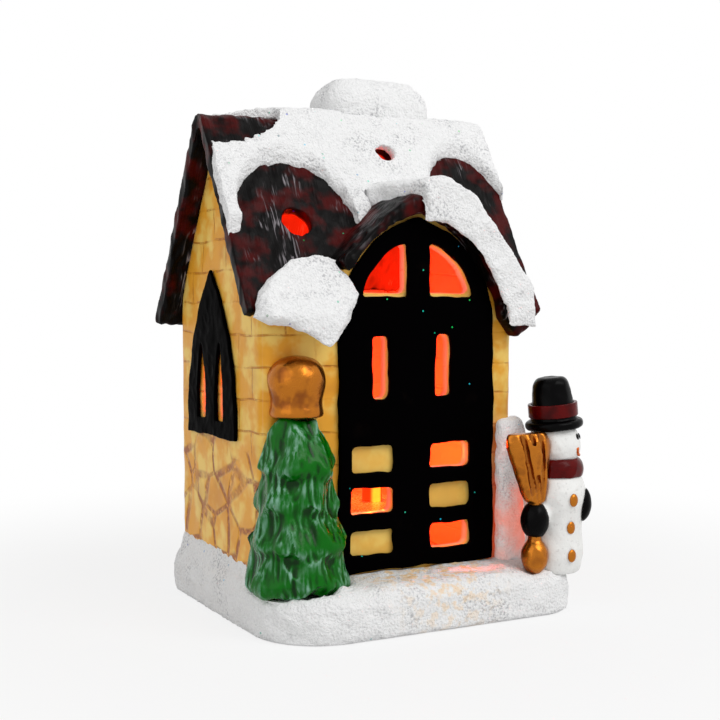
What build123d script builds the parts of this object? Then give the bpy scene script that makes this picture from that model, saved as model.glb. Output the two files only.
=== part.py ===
from build123d import *
from math import cos, radians, sin, tan
import os

# Ceramic Christmas village house lit from inside by a pull-out LED lamp. Millimetres.
# +X runs to the right along the main ridge, -Y is the door side, +Z is up.
# The origin lies under the middle of the whole piece, on the table.

# Base casting
BASE_WIDTH = 80.0
BASE_DEPTH = 76.0
BASE_HEIGHT = 9.0
BASE_CORNER_TREE = 17.0
BASE_CORNER_SNOWMAN = 11.0
BASE_CORNER_BACK = 12.0
BASE_EDGE_ROUND = 0.8
FLOOR_THICKNESS = 5.5

# Yard round the house, from the edge of the base to the walls
YARD_LEFT = 3.0
YARD_RIGHT = 10.5
YARD_FRONT = 16.5
YARD_BACK = 7.5

# Snow on the ground, which coats the sides of the base, and the bank beside the door
GROUND_SNOW_DEPTH = 2.7
GROUND_SNOW_ROUND = 4.5
COAT_THICKNESS = 1.0
COAT_FOOT = 1.2
COAT_ROUND = 0.9
DRIFT_WIDTH = 2.2
DRIFT_TOP_WIDTH = 0.5
DRIFT_HEIGHT = 6.7
BANK_WIDTH = 8.4
BANK_DEPTH = 4.6
BANK_TOP = 46.0
BANK_ROUND = 2.2
BANK_GAP = 0.3

# House walls
WALL_THICKNESS = 3.6
WALL_CORNER = 3.0
WALL_INNER_CORNER = 1.0

# Main roof
ROOF_THICKNESS = 3.6
ROOF_PITCH = 58.5
RIDGE_PEAK = 121.0
RIDGE_ROUND = 3.7
EAVE_FRONT = 4.6
EAVE_BACK = 6.0
RAKE_LEFT = 5.0
RAKE_RIGHT = 5.8
EAVE_ROUND = 1.2

# Front hood over the door, flatter on its left, with a deep rim round the arch
HOOD_OFFSET = 8.25
HOOD_PITCH_LEFT = 43.0
HOOD_PITCH_RIGHT = 52.0
HOOD_PEAK = 105.0
HOOD_RUN_LEFT = 24.0
HOOD_RUN_RIGHT = 28.6
HOOD_FRONT = 5.2
HOOD_ROUND = 13.5
HOOD_RIM = 6.5
HOOD_LIP_ROUND = 1.6
ARCH_REVEAL = 1.6
ARCH_GAP = 0.8
ARCH_SHIFT = -0.6

# Vent holes in the front slope: distance from the left wall, distance down the slope, radius
VENT_OFFSET = 12.7
VENT_DOWN = 34.3
VENT_RADIUS = 3.4
SMALL_VENT_OFFSET = 40.5
SMALL_VENT_DOWN = 13.8
SMALL_VENT_RADIUS = 2.6

# Chimney behind the ridge
CHIMNEY_OFFSET = 11.2
CHIMNEY_BACK = 7.0
CHIMNEY_WIDTH = 25.0
CHIMNEY_DEPTH = 14.0
CHIMNEY_TOP = 124.0
CHIMNEY_CORNER = 4.0
CHIMNEY_SNOW_TOP = 130.0
CHIMNEY_SNOW_SKIRT = 5.0
CHIMNEY_SNOW_LIP = 2.4
CHIMNEY_SNOW_ROUND = 7.5

# Snow on the roof: runs are measured level from the ridge
ROOF_SNOW_DEPTH = 2.6
ROOF_SNOW_ROUND = 5.6
ROOF_SNOW_FRONT = 20.5
ROOF_SNOW_BACK = 25.0
ROOF_SNOW_LIP = 0.4
SCALLOPS = 3
SCALLOP_DROP = 3.8
RIDGE_PATCH_LENGTH = 20.0
RIDGE_PATCH_FRONT = 9.5
RIDGE_PATCH_BACK = 4.5
VENT_PATCH_LENGTH = 28.0
VENT_PATCH_WIDTH = 16.0
RIGHT_PATCH_LENGTH = 13.5
RIGHT_PATCH_WIDTH = 17.0
RIGHT_PATCH_INSET = 11.3
RIGHT_PATCH_RUN = 24.0
HOOD_SNOW_DEPTH = 4.4
HOOD_SNOW_LIP = 1.8
HOOD_SNOW_DROOP = 0.6
HOOD_SNOW_APEX = 3.5
HOOD_SNOW_LEFT = 13.0
HOOD_SNOW_RIGHT = 27.5

# Snow that hangs over the eave: its outline from its own middle, width and height
EAVE_SNOW_OFFSET = 8.0
EAVE_SNOW_Z = 73.0
EAVE_SNOW_DEPTH = 3.6
EAVE_SNOW_REACH = 9.0
EAVE_SNOW_ROUND = 3.0
EAVE_SNOW_NARROWING = 0.75
EAVE_SNOW_OUTLINE = (
    (-12.0, -1.5),
    (-7.5, 5.2),
    (1.5, 10.8),
    (10.5, 9.8),
    (13.0, 5.4),
    (9.8, -4.0),
    (6.0, -11.8),
    (-3.0, -5.6),
)

# Door panel and its panes
DOOR_OFFSET = 6.05
DOOR_WIDTH = 41.4
DOOR_SPRING = 68.0
DOOR_TOP = 92.7
DOOR_BULGE = 5.6
DOOR_PROUD = 1.5
DOOR_STILE = 5.6
DOOR_TOP_RAIL = 74.6
DOOR_MULLION = 6.0
PANE_SHIFT = -1.7
PANE_WIDTH = 11.2
PANE_HEIGHT = 5.8
PANE_OFFSET = 10.4
PANE_ROUND = 1.0
PANE_LOW = 18.4
PANE_PITCH = 9.5
PANE_ROWS = 3
SLOT_WIDTH = 4.2
SLOT_HEIGHT = 14.5
SLOT_Z = 58.4
SLOT_OFFSET = 8.4

# Side windows
WINDOW_OFFSET = 2.6
WINDOW_WIDTH = 31.0
WINDOW_FOOT = 41.5
WINDOW_SPRING = 44.5
WINDOW_TOP = 81.0
WINDOW_BULGE = 4.0
WINDOW_PROUD = 1.0
SLIT_WIDTH = 5.0
SLIT_FOOT = 45.5
SLIT_SPRING = 48.0
SLIT_TOP = 64.0
SLIT_BULGE = 0.8
SLIT_OFFSET = 5.8

# Tree at the front left corner: each tier has a foot height, a top height and two radii
TREE_INSET_X = 10.6
TREE_INSET_Y = 14.5
TREE_BOUGHS = 6
TREE_NOTCH = 1.5
TREE_LIP = 2.4
TREE_DROOP = 3.0
TREE_TIERS = (
    (9.0, 25.0, 12.6, 8.4),
    (17.5, 32.5, 11.8, 7.4),
    (26.0, 40.0, 10.2, 6.0),
    (34.0, 48.5, 9.3, 4.9),
)
TOPPER_RADIUS = 6.5
TOPPER_WAIST = 5.8
TOPPER_ROLL = 6.1
TOPPER_FOOT_RADIUS = 4.9
TOPPER_HEIGHT = 13.6
TOPPER_SHOULDER = 7.2
TOPPER_WAIST_Z = 3.0
TOPPER_ROLL_Z = 1.2
TOPPER_SINK = 0.6

# Snowman at the front right corner
SNOWMAN_INSET_X = 5.0
SNOWMAN_INSET_Y = 7.0
FOOT_RADIUS = 5.9
BELLY_RADIUS = 7.0
BELLY_Z = 14.8
WAIST_RADIUS = 6.6
WAIST_Z = 20.4
CHEST_RADIUS = 7.5
CHEST_Z = 26.0
NECK_RADIUS = 4.6
NECK_Z = 34.0
HEAD_RADIUS = 6.3
HEAD_Z = 39.5
ARM_RADIUS = 2.9
SHOULDER_Z = 27.5
HAND_Z = 22.4
HAT_FOOT = 43.2
HAT_TOP = 55.6
HAT_TILT = -6.0
HAT_BRIM_RADIUS = 6.9
HAT_BRIM_THICKNESS = 2.2
HAT_BRIM_ROUND = 0.9
HAT_RADIUS = 5.6
HAT_CROWN_TAPER = 1.5
HAT_ROUND = 2.2
BAND_LIFT = 0.8
BAND_HEIGHT = 3.2
BAND_THICKNESS = 0.3
SCARF_Z = 33.6
SCARF_RING = 4.9
SCARF_HALF_WIDTH = 2.1
SCARF_HALF_HEIGHT = 3.0
BUTTON_HALF_WIDTH = 1.2
BUTTON_HALF_HEIGHT = 1.6
BUTTON_PROUD = 0.6
BUTTON_LOW = 13.7
BUTTON_PITCH = 6.6
BUTTONS = 3

# Broom in the snowman's right hand, as height, width and thickness up its fan, and the mittens
BROOM_REACH = 8.4
BROOM_AHEAD = 3.8
BROOM_LEAN = 2.4
BROOM_SECTIONS = (
    (26.6, 4.6, 4.4),
    (31.0, 8.0, 5.4),
    (36.5, 10.6, 6.0),
    (40.5, 12.0, 5.6),
    (42.9, 10.4, 4.0),
)
BROOM_BUTT_RADIUS = 3.3
BROOM_BUTT_HALF_HEIGHT = 4.3
BROOM_BUTT_Z = 13.9
BROOM_STICK_RADIUS = 1.6
BROOM_STRANDS = 4
BROOM_GROOVE = 0.7
MITTEN_RADIUS = 3.4
MITTEN_HALF_HEIGHT = 4.5
LEFT_MITTEN_RADIUS = 2.9
LEFT_MITTEN_REACH = 4.5
LEFT_MITTEN_AHEAD = 4.0
LEFT_MITTEN_Z = 25.4

# Pull-out lamp
LAMP_OFFSET_X = 0.1
LAMP_OFFSET_Y = -4.5
LAMP_RECESS = 3.6
LAMP_LIFT = 1.6
LAMP_GAP = 0.35
PLATE_RADIUS = 18.6
PLATE_THICKNESS = 1.75
CUP_RADIUS = 16.0
CUP_WALL = 1.8
CUP_ROUND = 1.5
RING_HEIGHT = 1.4
RING_DEPTH = 0.9
RING_FIT = 0.05
PLUG_FIT = 0.4

# Lamp cells, cap and contacts
CELL_X = -4.6
CELL_RADIUS = 5.8
CELL_HEIGHT = 5.4
CELL_ROUND = 0.5
CELLS = 3
WELL_WALL = 1.0
CELL_FIT = 0.25
CAP_RADIUS = 6.2
CAP_THICKNESS = 1.5
CAP_SLOT_LENGTH = 9.0
CAP_SLOT_WIDTH = 1.6
CAP_SLOT_DEPTH = 0.8
LUG_REACH = 1.5
LUG_WIDTH = 4.0
LUG_HEIGHT = 1.0
LUG_TURN = 45.0
CONTACT_THICKNESS = 0.3
CONTACT_WIDTH = 3.0
CONTACT_RADIUS = 4.6

# Lamp circuit board, switch and LED
BOARD_WIDTH = 8.6
BOARD_LENGTH = 13.0
BOARD_THICKNESS = 1.2
BOARD_FOOT = 7.4
POST_RADIUS = 1.3
PEG_RADIUS = 0.6
PEG_FIT = 0.05
POST_X = 10.4
POST_Y = 4.8
SWITCH_X = 7.2
SWITCH_LENGTH = 8.0
SWITCH_WIDTH = 3.8
SWITCH_WALL = 0.6
KNOB_LENGTH = 2.6
KNOB_WIDTH = 1.5
KNOB_CARRIAGE = 1.2
KNOB_TRAVEL = 2.4
KNOB_TIP = 0.6
LED_X = 5.9
LED_RADIUS = 2.5
LED_FLANGE_RADIUS = 2.9
LED_FLANGE = 1.0
LED_HEIGHT = 8.6
LEAD_SIZE = 0.5
LEAD_PITCH = 2.54
BOSS_RADIUS = 2.3
BOSS_Y = 11.6
SCREW_RADIUS = 1.0
SCREW_HEAD_RADIUS = 1.9
SCREW_HEAD = 0.9
SCREW_LENGTH = 7.0

# Shared heights and places
HOUSE_WIDTH = BASE_WIDTH - YARD_LEFT - YARD_RIGHT
HOUSE_DEPTH = BASE_DEPTH - YARD_FRONT - YARD_BACK
HOUSE_X = (YARD_LEFT - YARD_RIGHT) / 2
HOUSE_Y = (YARD_FRONT - YARD_BACK) / 2
HOUSE_FRONT = HOUSE_Y - HOUSE_DEPTH / 2
HOUSE_LEFT = HOUSE_X - HOUSE_WIDTH / 2
HOUSE_RIGHT = HOUSE_X + HOUSE_WIDTH / 2
ROOF_LEFT = HOUSE_LEFT - RAKE_LEFT
ROOF_RIGHT = HOUSE_RIGHT + RAKE_RIGHT
ROOF_PITCHES = (ROOF_PITCH, ROOF_PITCH)
ROOF_RUNS = (HOUSE_DEPTH / 2 + EAVE_FRONT, HOUSE_DEPTH / 2 + EAVE_BACK)
HOOD_PITCHES = (HOOD_PITCH_LEFT, HOOD_PITCH_RIGHT)
HOOD_RUNS = (HOOD_RUN_LEFT, HOOD_RUN_RIGHT)
HOOD_X = HOUSE_X + HOOD_OFFSET
HOOD_Y = HOUSE_FRONT - HOOD_FRONT
DOOR_X = HOUSE_X + DOOR_OFFSET
PANE_X = DOOR_X + PANE_SHIFT
VENT_X = HOUSE_LEFT + VENT_OFFSET
SMALL_VENT_X = HOUSE_LEFT + SMALL_VENT_OFFSET
CHIMNEY_X = HOUSE_X + CHIMNEY_OFFSET
CHIMNEY_Y = HOUSE_Y + CHIMNEY_BACK
WINDOW_Y = HOUSE_Y + WINDOW_OFFSET
TREE_X = TREE_INSET_X - BASE_WIDTH / 2
TREE_Y = TREE_INSET_Y - BASE_DEPTH / 2
SNOWMAN_X = BASE_WIDTH / 2 - SNOWMAN_INSET_X
SNOWMAN_Y = SNOWMAN_INSET_Y - BASE_DEPTH / 2
LAMP_X = HOUSE_X + LAMP_OFFSET_X
LAMP_Y = HOUSE_Y + LAMP_OFFSET_Y
GROUND = BASE_HEIGHT + GROUND_SNOW_DEPTH
PLATE_TOP = LAMP_LIFT + PLATE_THICKNESS
ABOVE = RIDGE_PEAK + BASE_DEPTH
CAP_UNDER = PLATE_TOP - CAP_THICKNESS
CAP_TOP = PLATE_TOP + LAMP_GAP + LUG_HEIGHT
CELL_FOOT = CAP_TOP + 2 * CONTACT_THICKNESS
CELL_TOP = CELL_FOOT + CELLS * CELL_HEIGHT
CUP_TOP = CELL_TOP + 2 * CONTACT_THICKNESS + CUP_WALL
WELL_SIDE = CELL_X + CELL_RADIUS + CELL_FIT + WELL_WALL
BOARD_LEFT = WELL_SIDE + CONTACT_THICKNESS
BOARD_X = BOARD_LEFT + BOARD_WIDTH / 2


def post(radius, bottom, top, x=0.0, y=0.0):
    """Upright cylinder between two heights."""
    return Pos(x, y, bottom) * Cylinder(radius, top - bottom, align=(Align.CENTER, Align.CENTER, Align.MIN))


def block(width, depth, bottom, top, x=0.0, y=0.0):
    """Upright box between two heights."""
    return Pos(x, y, bottom) * Box(width, depth, top - bottom, align=(Align.CENTER, Align.CENTER, Align.MIN))


def round_corner(face, point, radius):
    """Round the corner of a flat face that lies nearest to a point."""
    return fillet(face.vertices().sort_by_distance(Vector(*point))[0], radius)


def largest(shape):
    """The biggest of the solids that a cut leaves."""
    return shape.solids().sort_by(SortBy.VOLUME)[-1]


def base_outline(inset):
    """Base seen from above, with a wide corner at the tree, drawn in by an inset."""
    half_width = BASE_WIDTH / 2 - inset
    half_depth = BASE_DEPTH / 2 - inset
    plan = Rectangle(2 * half_width, 2 * half_depth)
    plan = round_corner(plan, (-half_width, -half_depth), BASE_CORNER_TREE - inset)
    plan = round_corner(plan, (half_width, -half_depth), BASE_CORNER_SNOWMAN - inset)
    plan = round_corner(plan, (half_width, half_depth), BASE_CORNER_BACK - inset)
    return round_corner(plan, (-half_width, half_depth), BASE_CORNER_BACK - inset)


def crest(pitches, offset):
    """Point where two slopes meet, moved out square to them by an offset."""
    left, right = (radians(pitch) for pitch in pitches)
    across = offset * (1 / cos(right) - 1 / cos(left)) / (tan(left) + tan(right))
    return (across, offset / cos(left) + across * tan(left))


def slope_foot(pitch, run, offset, side):
    """Foot of a slope at a run from the crest, moved out square to the slope by an offset."""
    lean = radians(pitch)
    return (side * (run + offset * sin(lean)), offset * cos(lean) - run * tan(lean))


def shell_profile(pitches, runs, outer, inner, crown, edge):
    """Two sloping leaves seen end on, crest of the bare slopes at (0, 0), between two offsets."""
    feet = [
        slope_foot(pitches[0], runs[0], outer, -1),
        slope_foot(pitches[1], runs[1], outer, 1),
        slope_foot(pitches[1], runs[1], inner, 1),
        slope_foot(pitches[0], runs[0], inner, -1),
    ]
    top = crest(pitches, outer)
    under = crest(pitches, inner)
    face = make_face(Polyline(feet[0], top, feet[1], feet[2], under, feet[3], close=True))
    for corner in feet:
        face = round_corner(face, corner, edge)
    face = round_corner(face, top, crown)
    return round_corner(face, under, max(crown - outer + inner, edge))


def under_profile(pitches, offset, crown, drop):
    """All that lies under two slopes moved out by an offset, down to a drop."""
    top = crest(pitches, offset)
    left = (top[0] - drop / tan(radians(pitches[0])), top[1] - drop)
    right = (top[0] + drop / tan(radians(pitches[1])), top[1] - drop)
    return round_corner(make_face(Polyline(left, top, right, close=True)), top, crown)


def along_ridge(profile, left, right):
    """Profile of the main roof run along X."""
    end = Plane((left, HOUSE_Y, RIDGE_PEAK), x_dir=(0, 1, 0), z_dir=(1, 0, 0))
    return extrude(end * profile, right - left)


def along_hood(profile, front, back):
    """Profile of the hood run along Y."""
    end = Plane((HOOD_X, back, HOOD_PEAK), x_dir=(1, 0, 0), z_dir=(0, -1, 0))
    return extrude(end * profile, back - front)


def pointed_arch(width, foot, spring, top, bulge):
    """Pointed arch on straight legs, with sides that swell by the bulge."""
    half = width / 2
    rise = top - spring
    chord = (half**2 + rise**2) ** 0.5
    shoulder = (half / 2 + bulge * rise / chord, spring + rise / 2 + bulge * half / chord)
    right = ThreePointArc((half, spring), shoulder, (0, top))
    left = ThreePointArc((0, top), (-shoulder[0], shoulder[1]), (-half, spring))
    legs = Polyline((-half, spring), (-half, foot), (half, foot), (half, spring))
    return make_face(right + left + legs)


def bough_ring(radius, notch, count, height):
    """Closed ring of bough tips, each one an arc between two notches."""
    step = 360 / count
    notches = [Vector(radius - notch, 0).rotate(Axis.Z, i * step) for i in range(count + 1)]
    tips = [Vector(radius, 0).rotate(Axis.Z, (i + 0.5) * step) for i in range(count)]
    arcs = [ThreePointArc(notches[i], tips[i], notches[i + 1]) for i in range(count)]
    return Pos(0, 0, height) * make_face(arcs)


# Base casting: rounded slab with the floor of the lamp chamber and the seat of the lamp plug
base_block = extrude(base_outline(COAT_THICKNESS), BASE_HEIGHT)
base_slab = fillet(base_block.faces().sort_by(Axis.Z)[0].edges(), BASE_EDGE_ROUND)
chamber_plan = Pos(HOUSE_X, HOUSE_Y) * RectangleRounded(
    HOUSE_WIDTH - 2 * WALL_THICKNESS, HOUSE_DEPTH - 2 * WALL_THICKNESS, WALL_INNER_CORNER
)
base_slab -= Pos(0, 0, FLOOR_THICKNESS) * extrude(chamber_plan, BASE_HEIGHT)
base_slab -= post(PLATE_RADIUS + PLUG_FIT, 0, LAMP_RECESS, LAMP_X, LAMP_Y)
base_slab -= post(CUP_RADIUS + PLUG_FIT, 0, FLOOR_THICKNESS, LAMP_X, LAMP_Y)

# Spaces under and over the two roofs
ridge_ends = (-BASE_WIDTH, BASE_WIDTH)
hood_ends = (-BASE_DEPTH, HOUSE_Y)
main_filled = along_ridge(under_profile(ROOF_PITCHES, 0, RIDGE_ROUND, RIDGE_PEAK), *ridge_ends)
hood_filled = along_hood(under_profile(HOOD_PITCHES, 0, HOOD_ROUND, HOOD_PEAK), *hood_ends)
main_inner_round = max(RIDGE_ROUND - ROOF_THICKNESS, EAVE_ROUND)
main_under = along_ridge(
    under_profile(ROOF_PITCHES, -ROOF_THICKNESS, main_inner_round, RIDGE_PEAK), *ridge_ends
)
hood_under = along_hood(
    under_profile(HOOD_PITCHES, -ROOF_THICKNESS, HOOD_ROUND - ROOF_THICKNESS, HOOD_PEAK), *hood_ends
)
roof_space = main_under + hood_under

# Roof casting: main gable roof, front hood and the deep rim of the hood in one piece
wall_front = Plane((0, HOUSE_FRONT, 0), x_dir=(1, 0, 0), z_dir=(0, -1, 0))
arch_face = Pos(DOOR_X + ARCH_SHIFT, 0) * pointed_arch(
    DOOR_WIDTH + 2 * ARCH_REVEAL, 0, DOOR_SPRING, DOOR_TOP + ARCH_GAP, DOOR_BULGE
)
arch_space = extrude(wall_front * arch_face, BASE_DEPTH)
main_leaves = shell_profile(ROOF_PITCHES, ROOF_RUNS, 0, -ROOF_THICKNESS, RIDGE_ROUND, EAVE_ROUND)
hood_leaves = shell_profile(HOOD_PITCHES, HOOD_RUNS, 0, -ROOF_THICKNESS, HOOD_ROUND, EAVE_ROUND)
roof = along_ridge(main_leaves, ROOF_LEFT, ROOF_RIGHT) + along_hood(hood_leaves, HOOD_Y, HOUSE_Y) - roof_space
hood_rim = along_hood(
    shell_profile(HOOD_PITCHES, HOOD_RUNS, 0, -HOOD_RIM, HOOD_ROUND, EAVE_ROUND), HOOD_Y, HOUSE_FRONT
)
hood_rim = fillet(hood_rim.faces().sort_by(Axis.Y)[0].edges(), HOOD_LIP_ROUND)
house_plan = Pos(HOUSE_X, HOUSE_Y) * RectangleRounded(HOUSE_WIDTH, HOUSE_DEPTH, WALL_CORNER)
house_block = Pos(0, 0, BASE_HEIGHT) * extrude(house_plan, ABOVE)
roof -= along_hood(hood_leaves, HOOD_Y, HOUSE_FRONT) - hood_rim
roof = largest(roof + hood_rim - arch_space)
front_slope = Plane(
    (0, HOUSE_Y, RIDGE_PEAK), x_dir=(1, 0, 0), z_dir=(0, -sin(radians(ROOF_PITCH)), cos(radians(ROOF_PITCH)))
)
vents = front_slope * Pos(VENT_X, -VENT_DOWN) * Cylinder(VENT_RADIUS, 4 * ROOF_THICKNESS)
vents += front_slope * Pos(SMALL_VENT_X, -SMALL_VENT_DOWN) * Cylinder(SMALL_VENT_RADIUS, 4 * ROOF_THICKNESS)
roof -= vents

# Panes of the door, seen from the front: those that let the light out and those that stay closed
pane = RectangleRounded(PANE_WIDTH, PANE_HEIGHT, PANE_ROUND)
open_panes = Sketch()
closed_panes = Sketch()
for row in range(PANE_ROWS):
    for side in (-1, 1):
        place = Pos(PANE_X + side * PANE_OFFSET, PANE_LOW + row * PANE_PITCH) * pane
        if (row % 2 == 0) == (side == 1):
            open_panes += place
        else:
            closed_panes += place
slot = RectangleRounded(SLOT_WIDTH, SLOT_HEIGHT, PANE_ROUND)
for side in (-1, 1):
    open_panes += Pos(PANE_X + side * SLOT_OFFSET, SLOT_Z) * slot
fanlight = pointed_arch(DOOR_WIDTH - 2 * DOOR_STILE, 0, DOOR_SPRING, DOOR_TOP - DOOR_STILE, DOOR_BULGE)
fanlight -= Pos(0, DOOR_TOP_RAIL) * Rectangle(DOOR_WIDTH, DOOR_TOP_RAIL * 2, align=(Align.CENTER, Align.MAX))
fanlight -= Rectangle(DOOR_MULLION, 2 * DOOR_TOP)
open_panes += Pos(DOOR_X, 0) * fanlight

# Door panel: pointed arch that stands proud of the front wall
door_face = Pos(DOOR_X, 0) * pointed_arch(DOOR_WIDTH, GROUND, DOOR_SPRING, DOOR_TOP, DOOR_BULGE)
door_panel = extrude(wall_front * (door_face - open_panes - closed_panes), DOOR_PROUD) & roof_space

# Side windows: pointed frames with two open slits, one on each gable wall
slit = pointed_arch(SLIT_WIDTH, SLIT_FOOT, SLIT_SPRING, SLIT_TOP, SLIT_BULGE)
slits = Pos(WINDOW_Y - SLIT_OFFSET, 0) * slit + Pos(WINDOW_Y + SLIT_OFFSET, 0) * slit
window_face = Pos(WINDOW_Y, 0) * pointed_arch(
    WINDOW_WIDTH, WINDOW_FOOT, WINDOW_SPRING, WINDOW_TOP, WINDOW_BULGE
)
wall_left = Plane((HOUSE_LEFT, 0, 0), x_dir=(0, 1, 0), z_dir=(1, 0, 0))
wall_right = Plane((HOUSE_RIGHT, 0, 0), x_dir=(0, 1, 0), z_dir=(1, 0, 0))
left_window_frame = extrude(wall_left * (window_face - slits), -WINDOW_PROUD)
right_window_frame = extrude(wall_right * (window_face - slits), WINDOW_PROUD)

# House walls: hollow, cut to the undersides of the roofs, open at the lit panes and slits
house_walls = house_block - Pos(0, 0, BASE_HEIGHT) * extrude(chamber_plan, ABOVE)
house_walls &= roof_space
house_walls -= extrude(wall_front * open_panes, -WALL_THICKNESS)
house_walls -= extrude(wall_left * slits, WALL_THICKNESS)
house_walls -= extrude(wall_right * slits, -WALL_THICKNESS)

# Chimney: rounded stack on the back slope, under its own cap of snow
chimney_plan = Pos(CHIMNEY_X, CHIMNEY_Y) * RectangleRounded(CHIMNEY_WIDTH, CHIMNEY_DEPTH, CHIMNEY_CORNER)
chimney = extrude(chimney_plan, CHIMNEY_TOP) - main_filled
cap_plan = Pos(CHIMNEY_X, CHIMNEY_Y) * RectangleRounded(
    CHIMNEY_WIDTH + 2 * CHIMNEY_SNOW_LIP,
    CHIMNEY_DEPTH + 2 * CHIMNEY_SNOW_LIP,
    CHIMNEY_CORNER + CHIMNEY_SNOW_LIP,
)
cap_foot = CHIMNEY_TOP - CHIMNEY_SNOW_SKIRT
chimney_snow = Pos(0, 0, cap_foot) * extrude(cap_plan, CHIMNEY_SNOW_TOP - cap_foot)
chimney_snow = fillet(chimney_snow.faces().sort_by(Axis.Z)[-1].edges(), CHIMNEY_SNOW_ROUND)
chimney_snow -= chimney + main_filled

# Snow on the hood: a deep blanket on its crest and right slope that rolls over the front rim
snow_front = HOOD_Y - HOOD_SNOW_LIP
snow_round = HOOD_ROUND + HOOD_SNOW_DEPTH
hood_blanket = shell_profile(HOOD_PITCHES, HOOD_RUNS, HOOD_SNOW_DEPTH, 0, snow_round, EAVE_ROUND)
hood_roll = shell_profile(
    HOOD_PITCHES, HOOD_RUNS, HOOD_SNOW_DEPTH, -HOOD_RIM - HOOD_SNOW_DROOP, snow_round, EAVE_ROUND
)
hood_snow = along_hood(hood_blanket, HOOD_Y, HOUSE_Y)
hood_snow += along_hood(hood_roll, snow_front, HOOD_Y + HOOD_LIP_ROUND)
snow_left = HOOD_X - HOOD_SNOW_LEFT
snow_apex = HOOD_X - HOOD_SNOW_APEX
snow_right = HOOD_X + HOOD_SNOW_RIGHT
snow_bend = ((snow_apex + snow_left) / 2, HOUSE_FRONT + HOOD_FRONT)
hood_snow_plan = make_face(
    Spline((snow_apex, snow_front), snow_bend, (snow_left, HOUSE_Y))
    + Polyline((snow_left, HOUSE_Y), (snow_right, HOUSE_Y), (snow_right, snow_front), (snow_apex, snow_front))
)
hood_snow &= extrude(hood_snow_plan, ABOVE)
hood_snow -= main_filled
hood_snow -= arch_space

# Snow on the main roof: a blanket over the ridge with bare patches at the ridge end, the vent and the right
snow_ends = (ROOF_LEFT - ROOF_SNOW_LIP, ROOF_RIGHT)
blanket_runs = (ROOF_RUNS[0] - ROOF_SNOW_DEPTH, ROOF_RUNS[1] - ROOF_SNOW_DEPTH)
blanket_profile = shell_profile(ROOF_PITCHES, blanket_runs, ROOF_SNOW_DEPTH, 0, ROOF_SNOW_ROUND, EAVE_ROUND)
snow_plan = Pos(0, HOUSE_Y - ROOF_SNOW_FRONT) * Rectangle(
    2 * BASE_WIDTH, ROOF_SNOW_FRONT + ROOF_SNOW_BACK, align=(Align.CENTER, Align.MIN)
)
scallop = (snow_ends[1] - snow_ends[0]) / SCALLOPS
for i in range(SCALLOPS):
    lobe_x = snow_ends[0] + (i + 0.5) * scallop
    snow_plan += Pos(lobe_x, HOUSE_Y + ROOF_SNOW_BACK) * Ellipse(scallop / 2, SCALLOP_DROP)
ridge_patch_y = HOUSE_Y - (RIDGE_PATCH_FRONT - RIDGE_PATCH_BACK) / 2
ridge_patch = Ellipse(RIDGE_PATCH_LENGTH, (RIDGE_PATCH_FRONT + RIDGE_PATCH_BACK) / 2)
snow_plan -= Pos(snow_ends[0], ridge_patch_y) * ridge_patch
vent_y = HOUSE_Y - VENT_DOWN * cos(radians(ROOF_PITCH))
snow_plan -= Pos(VENT_X, vent_y) * Ellipse(VENT_PATCH_LENGTH / 2, VENT_PATCH_WIDTH / 2)
snow_plan -= Pos(VENT_X, vent_y) * Rectangle(
    VENT_PATCH_LENGTH, ROOF_SNOW_FRONT, align=(Align.CENTER, Align.MAX)
)
snow_plan -= Pos(ROOF_RIGHT - RIGHT_PATCH_INSET, HOUSE_Y - RIGHT_PATCH_RUN) * Ellipse(
    RIGHT_PATCH_LENGTH, RIGHT_PATCH_WIDTH
)
roof_snow = along_ridge(blanket_profile, *snow_ends) & extrude(snow_plan, ABOVE)
roof_snow = largest(roof_snow - hood_filled - hood_snow - chimney - chimney_snow - vents)
hood_snow = largest(hood_snow - roof - vents)

# Snow that slid into the valley and hangs over the eave beside the door
eave_snow_x = HOUSE_LEFT + EAVE_SNOW_OFFSET
eave_face = make_face(Spline(*EAVE_SNOW_OUTLINE, periodic=True))
eave_plane = wall_front * Pos(eave_snow_x, EAVE_SNOW_Z)
eave_flat = EAVE_SNOW_REACH - EAVE_SNOW_ROUND
eave_snow = extrude(eave_plane * Pos(0, 0, -EAVE_SNOW_REACH) * eave_face, EAVE_SNOW_REACH + eave_flat)
eave_snow += loft(
    [
        eave_plane * Pos(0, 0, eave_flat) * eave_face,
        eave_plane * Pos(0, 0, EAVE_SNOW_REACH) * scale(eave_face, EAVE_SNOW_NARROWING),
    ]
)
eave_snow &= along_ridge(
    under_profile(ROOF_PITCHES, EAVE_SNOW_DEPTH, ROOF_SNOW_ROUND, RIDGE_PEAK), *ridge_ends
)
eave_snow = largest(eave_snow - roof - house_block - main_filled - hood_snow - door_panel - roof_snow)

# Tree: tiers of drooping boughs, standing against the front wall
tree = Part()
for i, (foot, top, foot_radius, top_radius) in enumerate(TREE_TIERS):
    rings = [
        bough_ring(foot_radius - TREE_LIP, TREE_NOTCH, TREE_BOUGHS, foot),
        bough_ring(foot_radius, TREE_NOTCH, TREE_BOUGHS, foot + TREE_DROOP),
        bough_ring(top_radius, TREE_NOTCH * top_radius / foot_radius, TREE_BOUGHS, top),
    ]
    tree += Rot(0, 0, i * 180 / TREE_BOUGHS) * loft(rings, ruled=True)
tree = Pos(TREE_X, TREE_Y) * tree - house_block - base_slab - door_panel

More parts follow.
